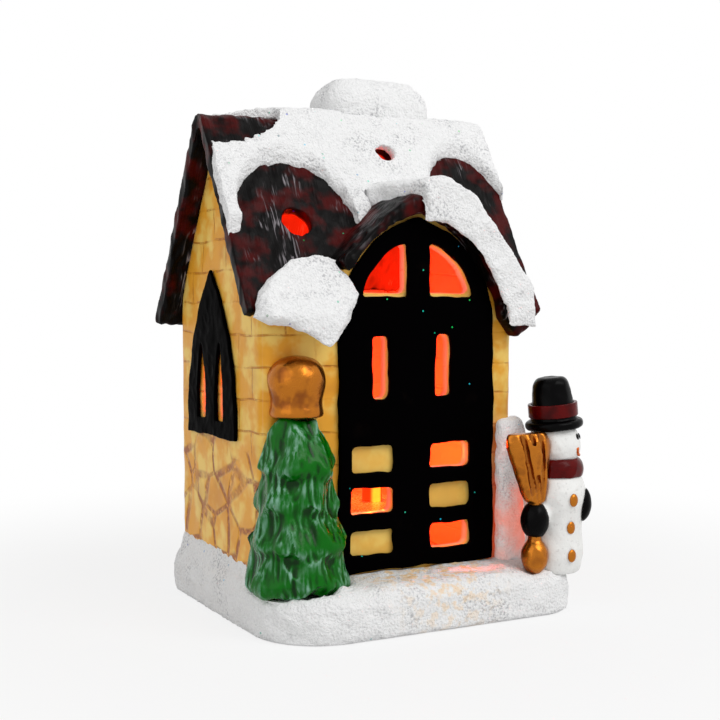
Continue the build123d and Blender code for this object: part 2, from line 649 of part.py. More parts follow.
# Gold topper: a round bonnet with a rolled foot
topper_foot = TREE_TIERS[-1][1] - TOPPER_SINK
bonnet = make_face(
    Spline(
        (0, topper_foot + TOPPER_HEIGHT),
        (TOPPER_RADIUS, topper_foot + TOPPER_SHOULDER),
        (TOPPER_WAIST, topper_foot + TOPPER_WAIST_Z),
        (TOPPER_ROLL, topper_foot + TOPPER_ROLL_Z),
        (TOPPER_FOOT_RADIUS, topper_foot),
        tangents=((1, 0), (-1, 0)),
    )
    + Polyline((TOPPER_FOOT_RADIUS, topper_foot), (0, topper_foot), (0, topper_foot + TOPPER_HEIGHT))
)
tree_topper = Pos(TREE_X, TREE_Y) * revolve(Plane.XZ * bonnet, Axis.Z) - house_block - tree

# Snowman: turned body, ball head and one stub arm in one figure
belly = make_face(
    Spline(
        (FOOT_RADIUS, BASE_HEIGHT),
        (BELLY_RADIUS, BELLY_Z),
        (WAIST_RADIUS, WAIST_Z),
        (CHEST_RADIUS, CHEST_Z),
        (NECK_RADIUS, NECK_Z),
    )
    + Polyline((NECK_RADIUS, NECK_Z), (0, NECK_Z), (0, BASE_HEIGHT), (FOOT_RADIUS, BASE_HEIGHT))
)
figure = revolve(Plane.XZ * belly, Axis.Z) + Pos(0, 0, HEAD_Z) * Sphere(HEAD_RADIUS)
arm_line = Line((0, 0, SHOULDER_Z), (-BROOM_REACH, -BROOM_AHEAD, HAND_Z))
figure += sweep(Plane(origin=arm_line @ 0, z_dir=arm_line % 0) * Circle(ARM_RADIUS), arm_line)
snowman_place = Pos(SNOWMAN_X, SNOWMAN_Y)


def skin_radius(height):
    """Radius of the turned body at a height."""
    level = belly & Line((0, height), (2 * CHEST_RADIUS, height))
    return max(vertex.X for vertex in level.vertices())


# Hat with a round brim and a tapered crown, tilted back, and the band round the crown
crown_foot = HAT_FOOT + HAT_BRIM_THICKNESS
crown_top = HAT_RADIUS - HAT_CROWN_TAPER
hat_face = make_face(
    Polyline(
        (0, HAT_FOOT),
        (HAT_BRIM_RADIUS, HAT_FOOT),
        (HAT_BRIM_RADIUS, crown_foot),
        (HAT_RADIUS, crown_foot),
        (crown_top, HAT_TOP),
        (0, HAT_TOP),
        close=True,
    )
)
hat_face = round_corner(hat_face, (crown_top, HAT_TOP), HAT_ROUND)
hat_face = round_corner(hat_face, (HAT_BRIM_RADIUS, crown_foot), HAT_BRIM_ROUND)
hat_face = round_corner(hat_face, (HAT_BRIM_RADIUS, HAT_FOOT), HAT_BRIM_ROUND)
hat = revolve(Plane.XZ * hat_face, Axis.Z)
band_foot = crown_foot + BAND_LIFT
band = post(HAT_RADIUS + BAND_THICKNESS, band_foot, band_foot + BAND_HEIGHT) - hat
hat_place = snowman_place * Pos(0, 0, HAT_FOOT) * Rot(0, HAT_TILT, 0) * Pos(0, 0, -HAT_FOOT)
snowman_hat = hat_place * hat - snowman_place * figure
hat_band = hat_place * band

# Scarf: a thick roll round the neck
scarf = revolve(Plane.XZ * Pos(SCARF_RING, SCARF_Z) * Ellipse(SCARF_HALF_WIDTH, SCARF_HALF_HEIGHT), Axis.Z)
scarf = snowman_place * (scarf - figure) - snowman_hat

# Buttons down the front of the body
buttons = Part()
for i in range(BUTTONS):
    height = BUTTON_LOW + i * BUTTON_PITCH
    button = scale(Sphere(1), by=(BUTTON_HALF_WIDTH, BUTTON_PROUD, BUTTON_HALF_HEIGHT))
    buttons += Pos(0, -skin_radius(height), height) * button
snowman_buttons = snowman_place * (buttons - figure)

# Broom held bristles up, with strands grooved into its fan and a thick butt on the snow
broom_place = snowman_place * Pos(-BROOM_REACH, -BROOM_AHEAD)
fan_foot = BROOM_SECTIONS[0][0]
fan_rise = BROOM_SECTIONS[-1][0] - fan_foot
sections = []
for height, width, thickness in BROOM_SECTIONS:
    lean = BROOM_LEAN * (height - fan_foot) / fan_rise
    sections.append(Pos(-lean, 0, height) * Ellipse(width / 2, thickness / 2))
broom = loft(sections)
for i in range(1, BROOM_STRANDS):
    share = i / BROOM_STRANDS - 0.5
    ends = []
    for height, width, thickness in (BROOM_SECTIONS[0], BROOM_SECTIONS[-1]):
        lean = BROOM_LEAN * (height - fan_foot) / fan_rise
        ends.append((share * width - lean, -thickness / 2, height))
    groove = Line(*ends)
    broom -= sweep(Plane(origin=groove @ 0, z_dir=groove % 0) * Circle(BROOM_GROOVE), groove)
broom += post(BROOM_STICK_RADIUS, BROOM_BUTT_Z, fan_foot)
broom += Pos(0, 0, BROOM_BUTT_Z) * scale(
    Sphere(1), by=(BROOM_BUTT_RADIUS, BROOM_BUTT_RADIUS, BROOM_BUTT_HALF_HEIGHT)
)
broom = largest(broom_place * broom - base_block)
snowman_body = largest(snowman_place * figure - broom - house_block - base_block)
scarf -= broom
right_mitten = scale(Sphere(1), by=(MITTEN_RADIUS, MITTEN_RADIUS, MITTEN_HALF_HEIGHT))
left_mitten = scale(Sphere(1), by=(LEFT_MITTEN_RADIUS, LEFT_MITTEN_RADIUS, MITTEN_HALF_HEIGHT))
right_mitten = broom_place * Pos(0, 0, HAND_Z) * right_mitten
left_mitten = snowman_place * Pos(LEFT_MITTEN_REACH, -LEFT_MITTEN_AHEAD, LEFT_MITTEN_Z) * left_mitten
mittens = Compound([largest(right_mitten - broom - snowman_body), largest(left_mitten - snowman_body)])

# Snow on the ground: a soft layer round the house and down the base, with drifts against three of the walls
ground_snow = Pos(0, 0, COAT_FOOT) * extrude(base_outline(0), GROUND - COAT_FOOT)
ground_snow = fillet(ground_snow.faces().sort_by(Axis.Z)[-1].edges(), GROUND_SNOW_ROUND)
ground_snow = fillet(ground_snow.faces().sort_by(Axis.Z)[0].edges(), COAT_ROUND)
drift_foot = Pos(HOUSE_X, HOUSE_Y, BASE_HEIGHT) * RectangleRounded(
    HOUSE_WIDTH + 2 * DRIFT_WIDTH, HOUSE_DEPTH + 2 * DRIFT_WIDTH, WALL_CORNER + DRIFT_WIDTH
)
drift_top = Pos(HOUSE_X, HOUSE_Y, BASE_HEIGHT + DRIFT_HEIGHT) * RectangleRounded(
    HOUSE_WIDTH + DRIFT_TOP_WIDTH, HOUSE_DEPTH + DRIFT_TOP_WIDTH, WALL_CORNER
)
drift = loft([drift_foot, drift_top], ruled=True)
drift -= block(2 * BASE_WIDTH, BASE_DEPTH, 0, ABOVE, 0, HOUSE_FRONT - BASE_DEPTH / 2)
ground_snow += drift
figures = tree + snowman_body + broom + door_panel
ground_snow = largest(ground_snow - base_block - house_block - figures)

# Snow bank piled against the wall between the door and the snowman
bank_left = DOOR_X + DOOR_WIDTH / 2 + BANK_GAP
snow_bank = block(
    BANK_WIDTH, 2 * BANK_DEPTH, BASE_HEIGHT, BANK_TOP, bank_left + BANK_WIDTH / 2, HOUSE_FRONT
)
bank_edges = snow_bank.edges() - snow_bank.faces().sort_by(Axis.Z)[0].edges()
snow_bank = fillet(bank_edges, BANK_ROUND)
snow_bank -= house_block + base_block
snow_bank = largest(snow_bank - ground_snow - figures - snowman_hat - scarf - mittens)

# Lamp plate: the flange that closes the hole in the base, with the cap port, the switch slot and two posts
knob_slot = KNOB_LENGTH + KNOB_TRAVEL + 2 * LAMP_GAP
lamp_plate = post(PLATE_RADIUS, LAMP_LIFT, PLATE_TOP)
cap_port = post(CAP_RADIUS + LAMP_GAP, LAMP_LIFT, PLATE_TOP, CELL_X)
cap_port += block(
    2 * (CAP_RADIUS + LUG_REACH + LAMP_GAP), LUG_WIDTH + 2 * LAMP_GAP, LAMP_LIFT, PLATE_TOP
).rotate(Axis.Z, LUG_TURN).translate((CELL_X, 0, 0))
lamp_plate -= cap_port
lamp_plate -= block(KNOB_WIDTH + 2 * LAMP_GAP, knob_slot, LAMP_LIFT, PLATE_TOP, SWITCH_X, 0)
screws = Part()
for side in (-1, 1):
    lamp_plate += post(POST_RADIUS, PLATE_TOP, BOARD_FOOT, POST_X, side * POST_Y)
    lamp_plate += post(PEG_RADIUS, BOARD_FOOT, BOARD_FOOT + 2 * BOARD_THICKNESS, POST_X, side * POST_Y)
    screw = post(SCREW_HEAD_RADIUS, LAMP_LIFT, LAMP_LIFT + SCREW_HEAD, 0, side * BOSS_Y)
    screw += post(SCREW_RADIUS, LAMP_LIFT + SCREW_HEAD, LAMP_LIFT + SCREW_LENGTH, 0, side * BOSS_Y)
    screws += screw
lamp_plate -= screws

# Cell well: a tube on the plate, wide at the foot where the lugs of the cap turn
well_top = PLATE_TOP + LUG_HEIGHT + 3 * LAMP_GAP
lug_radius = CAP_RADIUS + LUG_REACH + LAMP_GAP
well = post(lug_radius + WELL_WALL, PLATE_TOP, well_top + WELL_WALL, CELL_X)
well += post(CELL_RADIUS + CELL_FIT + WELL_WALL, PLATE_TOP, CELL_TOP, CELL_X)
well -= post(lug_radius, PLATE_TOP, well_top, CELL_X)
well -= post(CELL_RADIUS + CELL_FIT, PLATE_TOP, CELL_TOP, CELL_X)
lamp_plate += well

# Lamp cup: the translucent cover of the plug, with a groove for the gripping ring and two screw bosses
ring_foot = LAMP_RECESS + (FLOOR_THICKNESS - LAMP_RECESS - RING_HEIGHT) / 2
lamp_cup = post(CUP_RADIUS, PLATE_TOP, CUP_TOP)
lamp_cup = fillet(lamp_cup.faces().sort_by(Axis.Z)[-1].edges(), CUP_ROUND)
lamp_cup -= post(CUP_RADIUS - CUP_WALL, PLATE_TOP, CUP_TOP - CUP_WALL)
for side in (-1, 1):
    boss = post(BOSS_RADIUS, PLATE_TOP, CUP_TOP - CUP_WALL, 0, side * BOSS_Y)
    lamp_cup += boss & post(CUP_RADIUS, PLATE_TOP, CUP_TOP)
lamp_cup -= screws
gripping_ring = post(CUP_RADIUS + PLUG_FIT - RING_FIT, ring_foot, ring_foot + RING_HEIGHT)
gripping_ring -= post(CUP_RADIUS - RING_DEPTH, ring_foot, ring_foot + RING_HEIGHT)
lamp_cup -= gripping_ring

# LED standing on its two leads over the board
led_foot = CUP_TOP - CUP_WALL - LED_FLANGE
led = post(LED_FLANGE_RADIUS, led_foot, led_foot + LED_FLANGE, LED_X)
led += post(LED_RADIUS, led_foot, led_foot + LED_HEIGHT - LED_RADIUS, LED_X)
led += Pos(LED_X, 0, led_foot + LED_HEIGHT - LED_RADIUS) * Sphere(LED_RADIUS)
lamp_cup -= post(LED_RADIUS, led_foot, CUP_TOP, LED_X)
led_leads = Part()
for side in (-1, 1):
    led_leads += block(LEAD_SIZE, LEAD_SIZE, BOARD_FOOT, led_foot, LED_X, side * LEAD_PITCH / 2)

# Circuit board on the posts of the plate
circuit_board = block(BOARD_WIDTH, BOARD_LENGTH, BOARD_FOOT, BOARD_FOOT + BOARD_THICKNESS, BOARD_X)
for side in (-1, 1):
    circuit_board -= post(
        PEG_RADIUS + PEG_FIT, BOARD_FOOT, BOARD_FOOT + BOARD_THICKNESS, POST_X, side * POST_Y
    )
circuit_board -= led_leads

# Slide switch under the board: a case with a slot in its floor and the knob that runs in it
case_foot = PLATE_TOP + LAMP_GAP
case_floor = case_foot + SWITCH_WALL
carriage_top = BOARD_FOOT - SWITCH_WALL - LAMP_GAP
switch_case = block(SWITCH_WIDTH, SWITCH_LENGTH, case_foot, BOARD_FOOT, SWITCH_X)
switch_case -= block(
    SWITCH_WIDTH - 2 * SWITCH_WALL,
    SWITCH_LENGTH - 2 * SWITCH_WALL,
    case_floor,
    BOARD_FOOT - SWITCH_WALL,
    SWITCH_X,
)
switch_case -= block(KNOB_WIDTH + 2 * LAMP_GAP, knob_slot, case_foot, case_floor, SWITCH_X)
knob_y = -KNOB_TRAVEL / 2
switch_knob = block(KNOB_WIDTH, KNOB_LENGTH, KNOB_TIP, carriage_top, SWITCH_X, knob_y)
switch_knob += block(
    SWITCH_WIDTH - 2 * SWITCH_WALL - 2 * LAMP_GAP,
    KNOB_LENGTH + KNOB_CARRIAGE,
    case_floor + LAMP_GAP,
    carriage_top,
    SWITCH_X,
    knob_y,
)

# Turn-lock cap under the cells: coin slot below, two lugs above, and the contact that it carries
battery_cap = post(CAP_RADIUS, CAP_UNDER, CAP_TOP, CELL_X)
battery_cap += block(
    2 * (CAP_RADIUS + LUG_REACH), LUG_WIDTH, PLATE_TOP + LAMP_GAP, CAP_TOP, CELL_X
) & post(CAP_RADIUS + LUG_REACH, PLATE_TOP, CAP_TOP, CELL_X)
battery_cap -= block(CAP_SLOT_LENGTH, CAP_SLOT_WIDTH, CAP_UNDER, CAP_UNDER + CAP_SLOT_DEPTH, CELL_X)
cap_contact = post(CONTACT_RADIUS, CAP_TOP, CAP_TOP + CONTACT_THICKNESS, CELL_X)

# Button cells in the well
cells = []
for i in range(CELLS):
    cell = post(CELL_RADIUS, CELL_FOOT + i * CELL_HEIGHT, CELL_FOOT + (i + 1) * CELL_HEIGHT, CELL_X)
    cells.append(fillet(cell.edges().filter_by(GeomType.CIRCLE), CELL_ROUND))
button_cells = Compound(cells)

# Contacts: one strip over the stack and down to the board, one from the board to the cap
upper_contact = block(
    BOARD_LEFT - CELL_X, CONTACT_WIDTH, CELL_TOP, CELL_TOP + CONTACT_THICKNESS, (BOARD_LEFT + CELL_X) / 2
)
upper_contact += block(
    CONTACT_THICKNESS, CONTACT_WIDTH, BOARD_FOOT, CELL_TOP, WELL_SIDE + CONTACT_THICKNESS / 2
)

tongue_left = CELL_X + CONTACT_RADIUS + LAMP_GAP
tongue_right = BOARD_LEFT + CONTACT_WIDTH / 2
lower_contact = block(
    tongue_right - tongue_left,
    CONTACT_WIDTH,
    CAP_TOP,
    CAP_TOP + CONTACT_THICKNESS,
    (tongue_left + tongue_right) / 2,
)
lower_contact += block(
    CONTACT_THICKNESS, CONTACT_WIDTH, CAP_TOP, BOARD_FOOT, tongue_right - CONTACT_THICKNESS / 2
)
lamp_plate -= lower_contact

place_lamp = Pos(LAMP_X, LAMP_Y)
NODES = {
    "base_slab": base_slab,
    "ground_snow": ground_snow,
    "snow_bank": snow_bank,
    "house_walls": house_walls,
    "roof": roof,
    "chimney": chimney,
    "chimney_snow": chimney_snow,
    "roof_snow": roof_snow,
    "hood_snow": hood_snow,
    "eave_snow": eave_snow,
    "door_panel": door_panel,
    "left_window_frame": left_window_frame,
    "right_window_frame": right_window_frame,
    "tree": tree,
    "tree_topper": tree_topper,
    "snowman_body": snowman_body,
    "snowman_hat": snowman_hat,
    "hat_band": hat_band,
    "scarf": scarf,
    "snowman_buttons": snowman_buttons,
    "broom": broom,
    "mittens": mittens,
    "lamp_plate": place_lamp * lamp_plate,
    "lamp_cup": place_lamp * lamp_cup,
    "lamp_screws": place_lamp * screws,
    "gripping_ring": place_lamp * gripping_ring,
    "led": place_lamp * led,
    "led_leads": place_lamp * led_leads,
    "circuit_board": place_lamp * circuit_board,
    "switch_case": place_lamp * switch_case,
    "switch_knob": place_lamp * switch_knob,
    "battery_cap": place_lamp * battery_cap,
    "cap_contact": place_lamp * cap_contact,
    "button_cells": place_lamp * button_cells,
    "upper_contact": place_lamp * upper_contact,
    "lower_contact": place_lamp * lower_contact,
}

os.makedirs("parts", exist_ok=True)
for name, shape in NODES.items():
    export_step(shape, f"parts/{name}.step")
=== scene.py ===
from math import cos, pi, radians, sin

import bmesh
import bpy
from bpy.props import FloatProperty, FloatVectorProperty, PointerProperty
from mathutils import Matrix, Vector, noise


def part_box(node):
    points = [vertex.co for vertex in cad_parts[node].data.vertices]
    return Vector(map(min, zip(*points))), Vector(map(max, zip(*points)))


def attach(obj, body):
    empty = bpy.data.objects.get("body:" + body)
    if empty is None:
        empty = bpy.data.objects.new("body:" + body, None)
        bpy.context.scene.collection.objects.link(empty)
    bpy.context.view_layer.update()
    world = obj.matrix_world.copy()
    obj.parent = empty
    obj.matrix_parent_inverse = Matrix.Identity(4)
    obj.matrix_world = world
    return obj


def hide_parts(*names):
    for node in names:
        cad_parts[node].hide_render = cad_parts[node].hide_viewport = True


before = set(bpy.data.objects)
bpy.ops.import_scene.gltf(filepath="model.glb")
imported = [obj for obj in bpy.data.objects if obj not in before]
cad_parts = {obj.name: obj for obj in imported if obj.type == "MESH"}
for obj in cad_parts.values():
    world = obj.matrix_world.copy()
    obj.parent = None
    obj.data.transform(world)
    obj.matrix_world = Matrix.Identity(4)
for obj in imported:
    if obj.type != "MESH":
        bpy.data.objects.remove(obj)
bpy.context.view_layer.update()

bl_info = {
    "name": "Lit Ceramic Village House",
    "version": (1, 0, 0),
    "blender": (4, 5, 0),
    "location": "View3D > Sidebar > Village House",
    "description": "Dresses a lit ceramic village house in glaze, snow and lamp light",
    "category": "Add Mesh",
}

MM = 0.001
WALL_LOW, WALL_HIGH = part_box("house_walls")
BODY_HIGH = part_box("snowman_body")[1]
HAT_LOW, HAT_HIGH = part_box("snowman_hat")
BUTTON_LOW, BUTTON_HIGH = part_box("snowman_buttons")
LED_LOW, LED_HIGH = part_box("led")
DOOR_LOW, DOOR_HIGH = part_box("door_panel")
DOOR_X = (DOOR_LOW.x + DOOR_HIGH.x) / 2
DOOR_HALF_WIDTH = (DOOR_HIGH.x - DOOR_LOW.x) / 2
LED_X = (LED_LOW.x + LED_HIGH.x) / 2
LED_Y = (LED_LOW.y + LED_HIGH.y) / 2
RIDGE_Y = (WALL_LOW.y + WALL_HIGH.y) / 2
ROOF_PITCH = radians(58.5)
ROOF_PEAK = 121.0 * MM
HEAD_RADIUS = 6.3 * MM
WAVER_SEED = 7  # so that each run cuts the same outlines
WALL_TOPS = 60.0 * MM  # above this, a wall's upward face carries the roof
BASE_TOP = 5.0 * MM  # above this, the ground snow's underside lies on the base
STEEP = 0.25  # upright share of the normal from which a face looks up or down
SNOW_ROOT = 1.2 * MM  # how deep a coat of snow sits in what carries it
WALL_ROOT = 0.9 * MM  # how deep the walls' tops sit in the roof
SKIRT_FOOT = 0.1 * MM  # how high the lowest snow ends above the floor
FLOOR_DROP = 0.05 * MM  # how far the floor lies under the base, so that the two don't flicker
FLOOR_NEAR, FLOOR_FAR = 70.0, 220.0  # between these the floor turns white, in millimetres from the middle

# Tints that a user would hardly change, as they show on a screen
# Painted glow that the lit snow bank gives off away from its blush.
SNOW_SHEEN = (0.55, 0.53, 0.53)
NEAR_LAMP = (1.0, 0.55, 0.14)
BARE_CLAY = (0.93, 0.82, 0.72)
BROWN_TINGE = (0.07, 0.04, 0.03)
PORE_GREY = (0.76, 0.75, 0.74)
LENS_RIM = (1.0, 0.16, 0.02)

UNLIT = (0.0, 0.0, 0.0, 1.0)
WHITE = (1.0, 1.0, 1.0, 1.0)
BACKGROUND_RAYS = ("Is Glossy Ray", "Is Transmission Ray")  # these see the background as the camera does


def colour(name, description, value):
    """A colour that a user would change, as it shows on a screen."""
    return FloatVectorProperty(
        name=name, description=description, default=value, subtype="COLOR_GAMMA", size=3, min=0.0, max=1.0
    )


def length(name, description, value):
    """A size that a user would change, in metres."""
    return FloatProperty(
        name=name, description=description, default=value, unit="LENGTH", min=0.0, precision=5
    )


def share(name, description, value):
    """A share between none and all."""
    return FloatProperty(
        name=name, description=description, default=value, subtype="FACTOR", min=0.0, max=1.0
    )


class SnowSettings(bpy.types.PropertyGroup):
    """Sizes and colours of the gritty snow coat."""

    white: colour("Snow", "Colour of the snow coat", (0.98, 0.98, 0.98))
    # Grey between the grains stands for painted shade in their pits, with grey specks mixed in.
    shade: colour("Grit", "Colour between the grains", (0.74, 0.74, 0.75))
    blush: colour("Blush", "Lamp light that shines through the snow bank", (0.98, 0.48, 0.36))
    lump: length("Lump Size", "Width of the soft lumps", 0.0075)
    lump_height: length("Lump Height", "Height of the soft lumps", 0.0009)
    grain: length("Grain Size", "Width of the gritty grains", 0.0011)
    grain_height: length("Grain Height", "Height of the gritty grains", 0.00016)
    glitter: share("Glitter", "Share of grains that carry coloured glitter", 0.035)
    skirt: length("Skirt", "Height of the lowest snow, which hides the rim of the base", 0.005)
    spill: colour("Spill", "Lamp light that falls on the snow before the door", (1.0, 0.80, 0.46))
    thin_run: length("Thin Run", "Length over which the snow on the roofs thins out to the left", 0.014)
    thin_drop: length("Thin Drop", "How far a thin end sinks into what carries it", 0.0040)


class HouseSettings(bpy.types.PropertyGroup):
    """Sizes and colours of the glazed walls, roof, door and windows."""

    wall: colour("Wall", "Cream glaze of the walls", (0.94, 0.66, 0.19))
    wall_pale: colour("Wall Highlights", "Thin cream glaze on the walls", (0.98, 0.82, 0.42))
    line: colour("Brick Lines", "Brushed lines between the bricks", (0.74, 0.41, 0.06))
    stone_line: colour("Stone Lines", "Brushed lines between the low stones", (0.56, 0.27, 0.12))
    brick_height: length("Brick Height", "Height of one course", 0.0073)
    brick_length: length("Brick Length", "Length of one brick", 0.0150)
    roof: colour("Roof", "Dark glaze of the roof", (0.016, 0.010, 0.010))
    roof_red: colour("Roof Red", "Red glaze in the furrows of the roof", (0.27, 0.02, 0.018))
    # White dry-brush over the ridges, which also stands for painted glints of the glaze's gloss.
    roof_frost_and_glint: colour("Roof Frost and Glint", "White brushed over the ridges of the roof", (0.74, 0.71, 0.73))
    wall_blush: colour("Wall Blush", "Lamp light that shines through the front wall", (0.95, 0.50, 0.40))
    black: colour("Black Glaze", "Black of the door, windows, hat and mittens", (0.008, 0.006, 0.008))
    glow: colour("Glow", "Lamp light on the inside of the clay", (1.0, 0.13, 0.025))
    glow_strength: FloatProperty(
        name="Glow Strength", description="Strength of the lamp light inside", default=1.0, min=0.0, max=10.0
    )


class TreeSettings(bpy.types.PropertyGroup):
    """Colours and furrows of the tree."""

    green: colour("Green", "Green glaze on the boughs", (0.008, 0.40, 0.03))
    deep: colour("Deep Green", "Glaze pooled between the boughs", (0.002, 0.19, 0.01))
    frost: colour("Frost", "White brushed over the tips", (0.66, 0.84, 0.78))
    furrow: length("Furrow Depth", "Depth of the needles' furrows", 0.0005)
    gold: colour("Gold", "Copper gold lustre", (0.70, 0.42, 0.13))
    gold_dark: colour("Dark Gold", "Lustre pooled in the hollows", (0.37, 0.115, 0.02))


class SnowmanSettings(bpy.types.PropertyGroup):
    """Colours and face of the snowman."""

    white: colour("Body", "White glaze of the body", (0.94, 0.94, 0.93))
    red: colour("Red", "Gloss red of the scarf and the band", (0.36, 0.02, 0.02))
    carrot: colour("Carrot", "Orange of the nose", (0.90, 0.42, 0.12))
    face_turn: FloatProperty(
        name="Face Turn", description="Turn of the face to the right", default=radians(38), subtype="ANGLE"
    )
    eye_spread: FloatProperty(
        name="Eye Spread", description="Angle from face middle to eye", default=radians(8), subtype="ANGLE"
    )
    eye_radius: length("Eye Radius", "Radius of a painted eye", 0.00060)
    nose_length: length("Nose Length", "Length of the curved carrot nose", 0.0030)


class LampSettings(bpy.types.PropertyGroup):
    """Colours and light of the pull-out lamp."""

    plastic: colour("Plastic", "White moulded plastic", (0.90, 0.90, 0.88))
    lens: colour("Lens", "Tinted lens of the LED", (1.0, 0.72, 0.18))
    light: colour("Light", "Colour of the lamp's light", (1.0, 0.30, 0.08))
    power: FloatProperty(name="Power", description="Lamp light in watts", default=0.06, min=0.0, unit="POWER")


class StageSettings(bpy.types.PropertyGroup):
    """Camera, floor and studio light."""

    floor: colour("Floor", "Colour of the floor", (0.88, 0.88, 0.88))
    floor_glow: share("Floor Glow", "How far the floor by the house shows white to the camera", 0.80)
    camera_place: FloatVectorProperty(
        name="Camera",
        description="Place of the camera",
        default=(-0.1403, -0.2617, 0.0715),
        subtype="TRANSLATION",
    )
    camera_turn: FloatProperty(
        name="Turn", description="Turn of the camera about the upright", default=radians(-28), subtype="ANGLE"
    )
    camera_dip: FloatProperty(
        name="Dip", description="How far the camera looks down", default=radians(2.4), subtype="ANGLE"
    )
    lens: FloatProperty(name="Lens", description="Focal length in millimetres", default=60.0, min=1.0)
    key: FloatProperty(name="Key", description="Power of the large lamp in watts", default=3.0, unit="POWER")
    fill: FloatProperty(name="Fill", description="Power of the side lamp", default=0.75, unit="POWER")
    sky: FloatProperty(name="Sky", description="Strength of the even light all round", default=0.55)


class VillageHouseSettings(bpy.types.PropertyGroup):
    """All settings of the house."""

    snow: PointerProperty(type=SnowSettings)
    house: PointerProperty(type=HouseSettings)
    tree: PointerProperty(type=TreeSettings)
    snowman: PointerProperty(type=SnowmanSettings)
    lamp: PointerProperty(type=LampSettings)
    stage: PointerProperty(type=StageSettings)


def linear(shown):
    """Linear RGBA of a colour as it shows on a screen."""
    return (*(c / 12.92 if c <= 0.04045 else ((c + 0.055) / 1.055) ** 2.4 for c in shown[:3]), 1.0)


class Value:
    """A socket of a material that takes part in arithmetic."""

    def __init__(self, finish, socket):
        self.finish = finish
        self.socket = socket

    def maths(self, operation, first, second):
        return self.finish.add("ShaderNodeMath", {"operation": operation}, {0: first, 1: second})

    def __add__(self, other):
        return self.maths("ADD", self, other)

    def __radd__(self, other):
        return self.maths("ADD", other, self)

    def __sub__(self, other):
        return self.maths("SUBTRACT", self, other)

    def __rsub__(self, other):
        return self.maths("SUBTRACT", other, self)

    def __mul__(self, other):
        return self.maths("MULTIPLY", self, other)

    def __rmul__(self, other):
        return self.maths("MULTIPLY", other, self)

    def __truediv__(self, other):
        return self.maths("DIVIDE", self, other)

    def __abs__(self):
        return self.maths("ABSOLUTE", self, 0.0)

    def least(self, other):
        return self.maths("MINIMUM", self, other)

    def most(self, other):
        return self.maths("MAXIMUM", self, other)

    def below(self, other):
        return self.maths("LESS_THAN", self, other)


class Finish:
    """A procedural material on Object coordinates, which it reads in millimetres."""

    def __init__(self, name):
        self.material = bpy.data.materials.new(name)
        self.material.use_nodes = True
        self.tree = self.material.node_tree
        self.shader = self.tree.nodes["Principled BSDF"]
        place = self.add("ShaderNodeTexCoord", out="Object")
        self.place = self.add("ShaderNodeVectorMath", {"operation": "SCALE"}, {0: place, "Scale": 1 / MM})
        axes = self.add("ShaderNodeSeparateXYZ", {}, {0: self.place}, (0, 1, 2))
        self.x, self.y, self.z = axes

    def feed(self, socket, value):
        """Link a value into a socket, or set it there."""
        if isinstance(value, Value):
            self.tree.links.new(value.socket, socket)
        else:
            socket.default_value = value

    def add(self, kind, settings=None, sockets=None, out=0):
        """A new node: its settings first, then its sockets; gives back one output or several."""
        node = self.tree.nodes.new(kind)
        for key, value in (settings or {}).items():
            setattr(node, key, value)
        for key, value in (sockets or {}).items():
            self.feed(node.inputs[key], value)
        if isinstance(out, tuple):
            return [Value(self, node.outputs[key]) for key in out]
        return Value(self, node.outputs[out])

    def vector(self, x, y, z):
        """A vector from three values."""
        return self.add("ShaderNodeCombineXYZ", {}, {0: x, 1: y, 2: z})

    def noise(self, size, detail=2.0, stretch=(1, 1, 1), where=None):
        """Cloudy values round a half, with features of a size in millimetres."""
        spot = self.add(
            "ShaderNodeVectorMath",
            {"operation": "MULTIPLY"},
            {0: where or self.place, 1: tuple(s / size for s in stretch)},
        )
        return self.add("ShaderNodeTexNoise", {}, {"Vector": spot, "Scale": 1.0, "Detail": detail})

    def rise(self, value, low, high):
        """Soft step from none to all between two values."""
        return self.add(
            "ShaderNodeMapRange",
            {"interpolation_type": "SMOOTHSTEP"},
            {0: value, 1: low, 2: high, 3: 0.0, 4: 1.0},
        )

    def mix(self, factor, first, second):
        """Colour between two colours."""
        return self.add("ShaderNodeMix", {"data_type": "RGBA"}, {0: factor, 6: first, 7: second}, 2)

    def attribute(self, name):
        """Value that the mesh carries at its points."""
        return self.add("ShaderNodeAttribute", {"attribute_name": name}, {}, "Fac")

    def specks(self, size, part, radius=0.3):
        """Scattered specks: where they lie, and a colour of their own for each."""
        spot = self.add("ShaderNodeVectorMath", {"operation": "SCALE"}, {0: self.place, "Scale": 1 / size})
        distance, shown = self.add("ShaderNodeTexVoronoi", {}, {"Vector": spot, "Scale": 1.0}, (0, 1))
        chance = self.add("ShaderNodeSeparateColor", {}, {0: shown}, 0)
        return chance.below(part) * distance.below(radius), shown

    def bump(self, height, depth):
        """Bump of a depth in millimetres on the shader's normal."""
        normal = self.add("ShaderNodeBump", {}, {"Strength": 1.0, "Distance": depth * MM, "Height": height})
        self.set(Normal=normal)

    def distance(self, spot):
        """How far each place lies from a spot given in metres, in millimetres."""
        ends = {0: self.place, 1: spot / MM}
        return self.add("ShaderNodeVectorMath", {"operation": "DISTANCE"}, ends, "Value")

    def set(self, **sockets):
        """Values of the shader's sockets, with spaces written as underlines."""
        for key, value in sockets.items():
            self.feed(self.shader.inputs[key.replace("_", " ")], value)


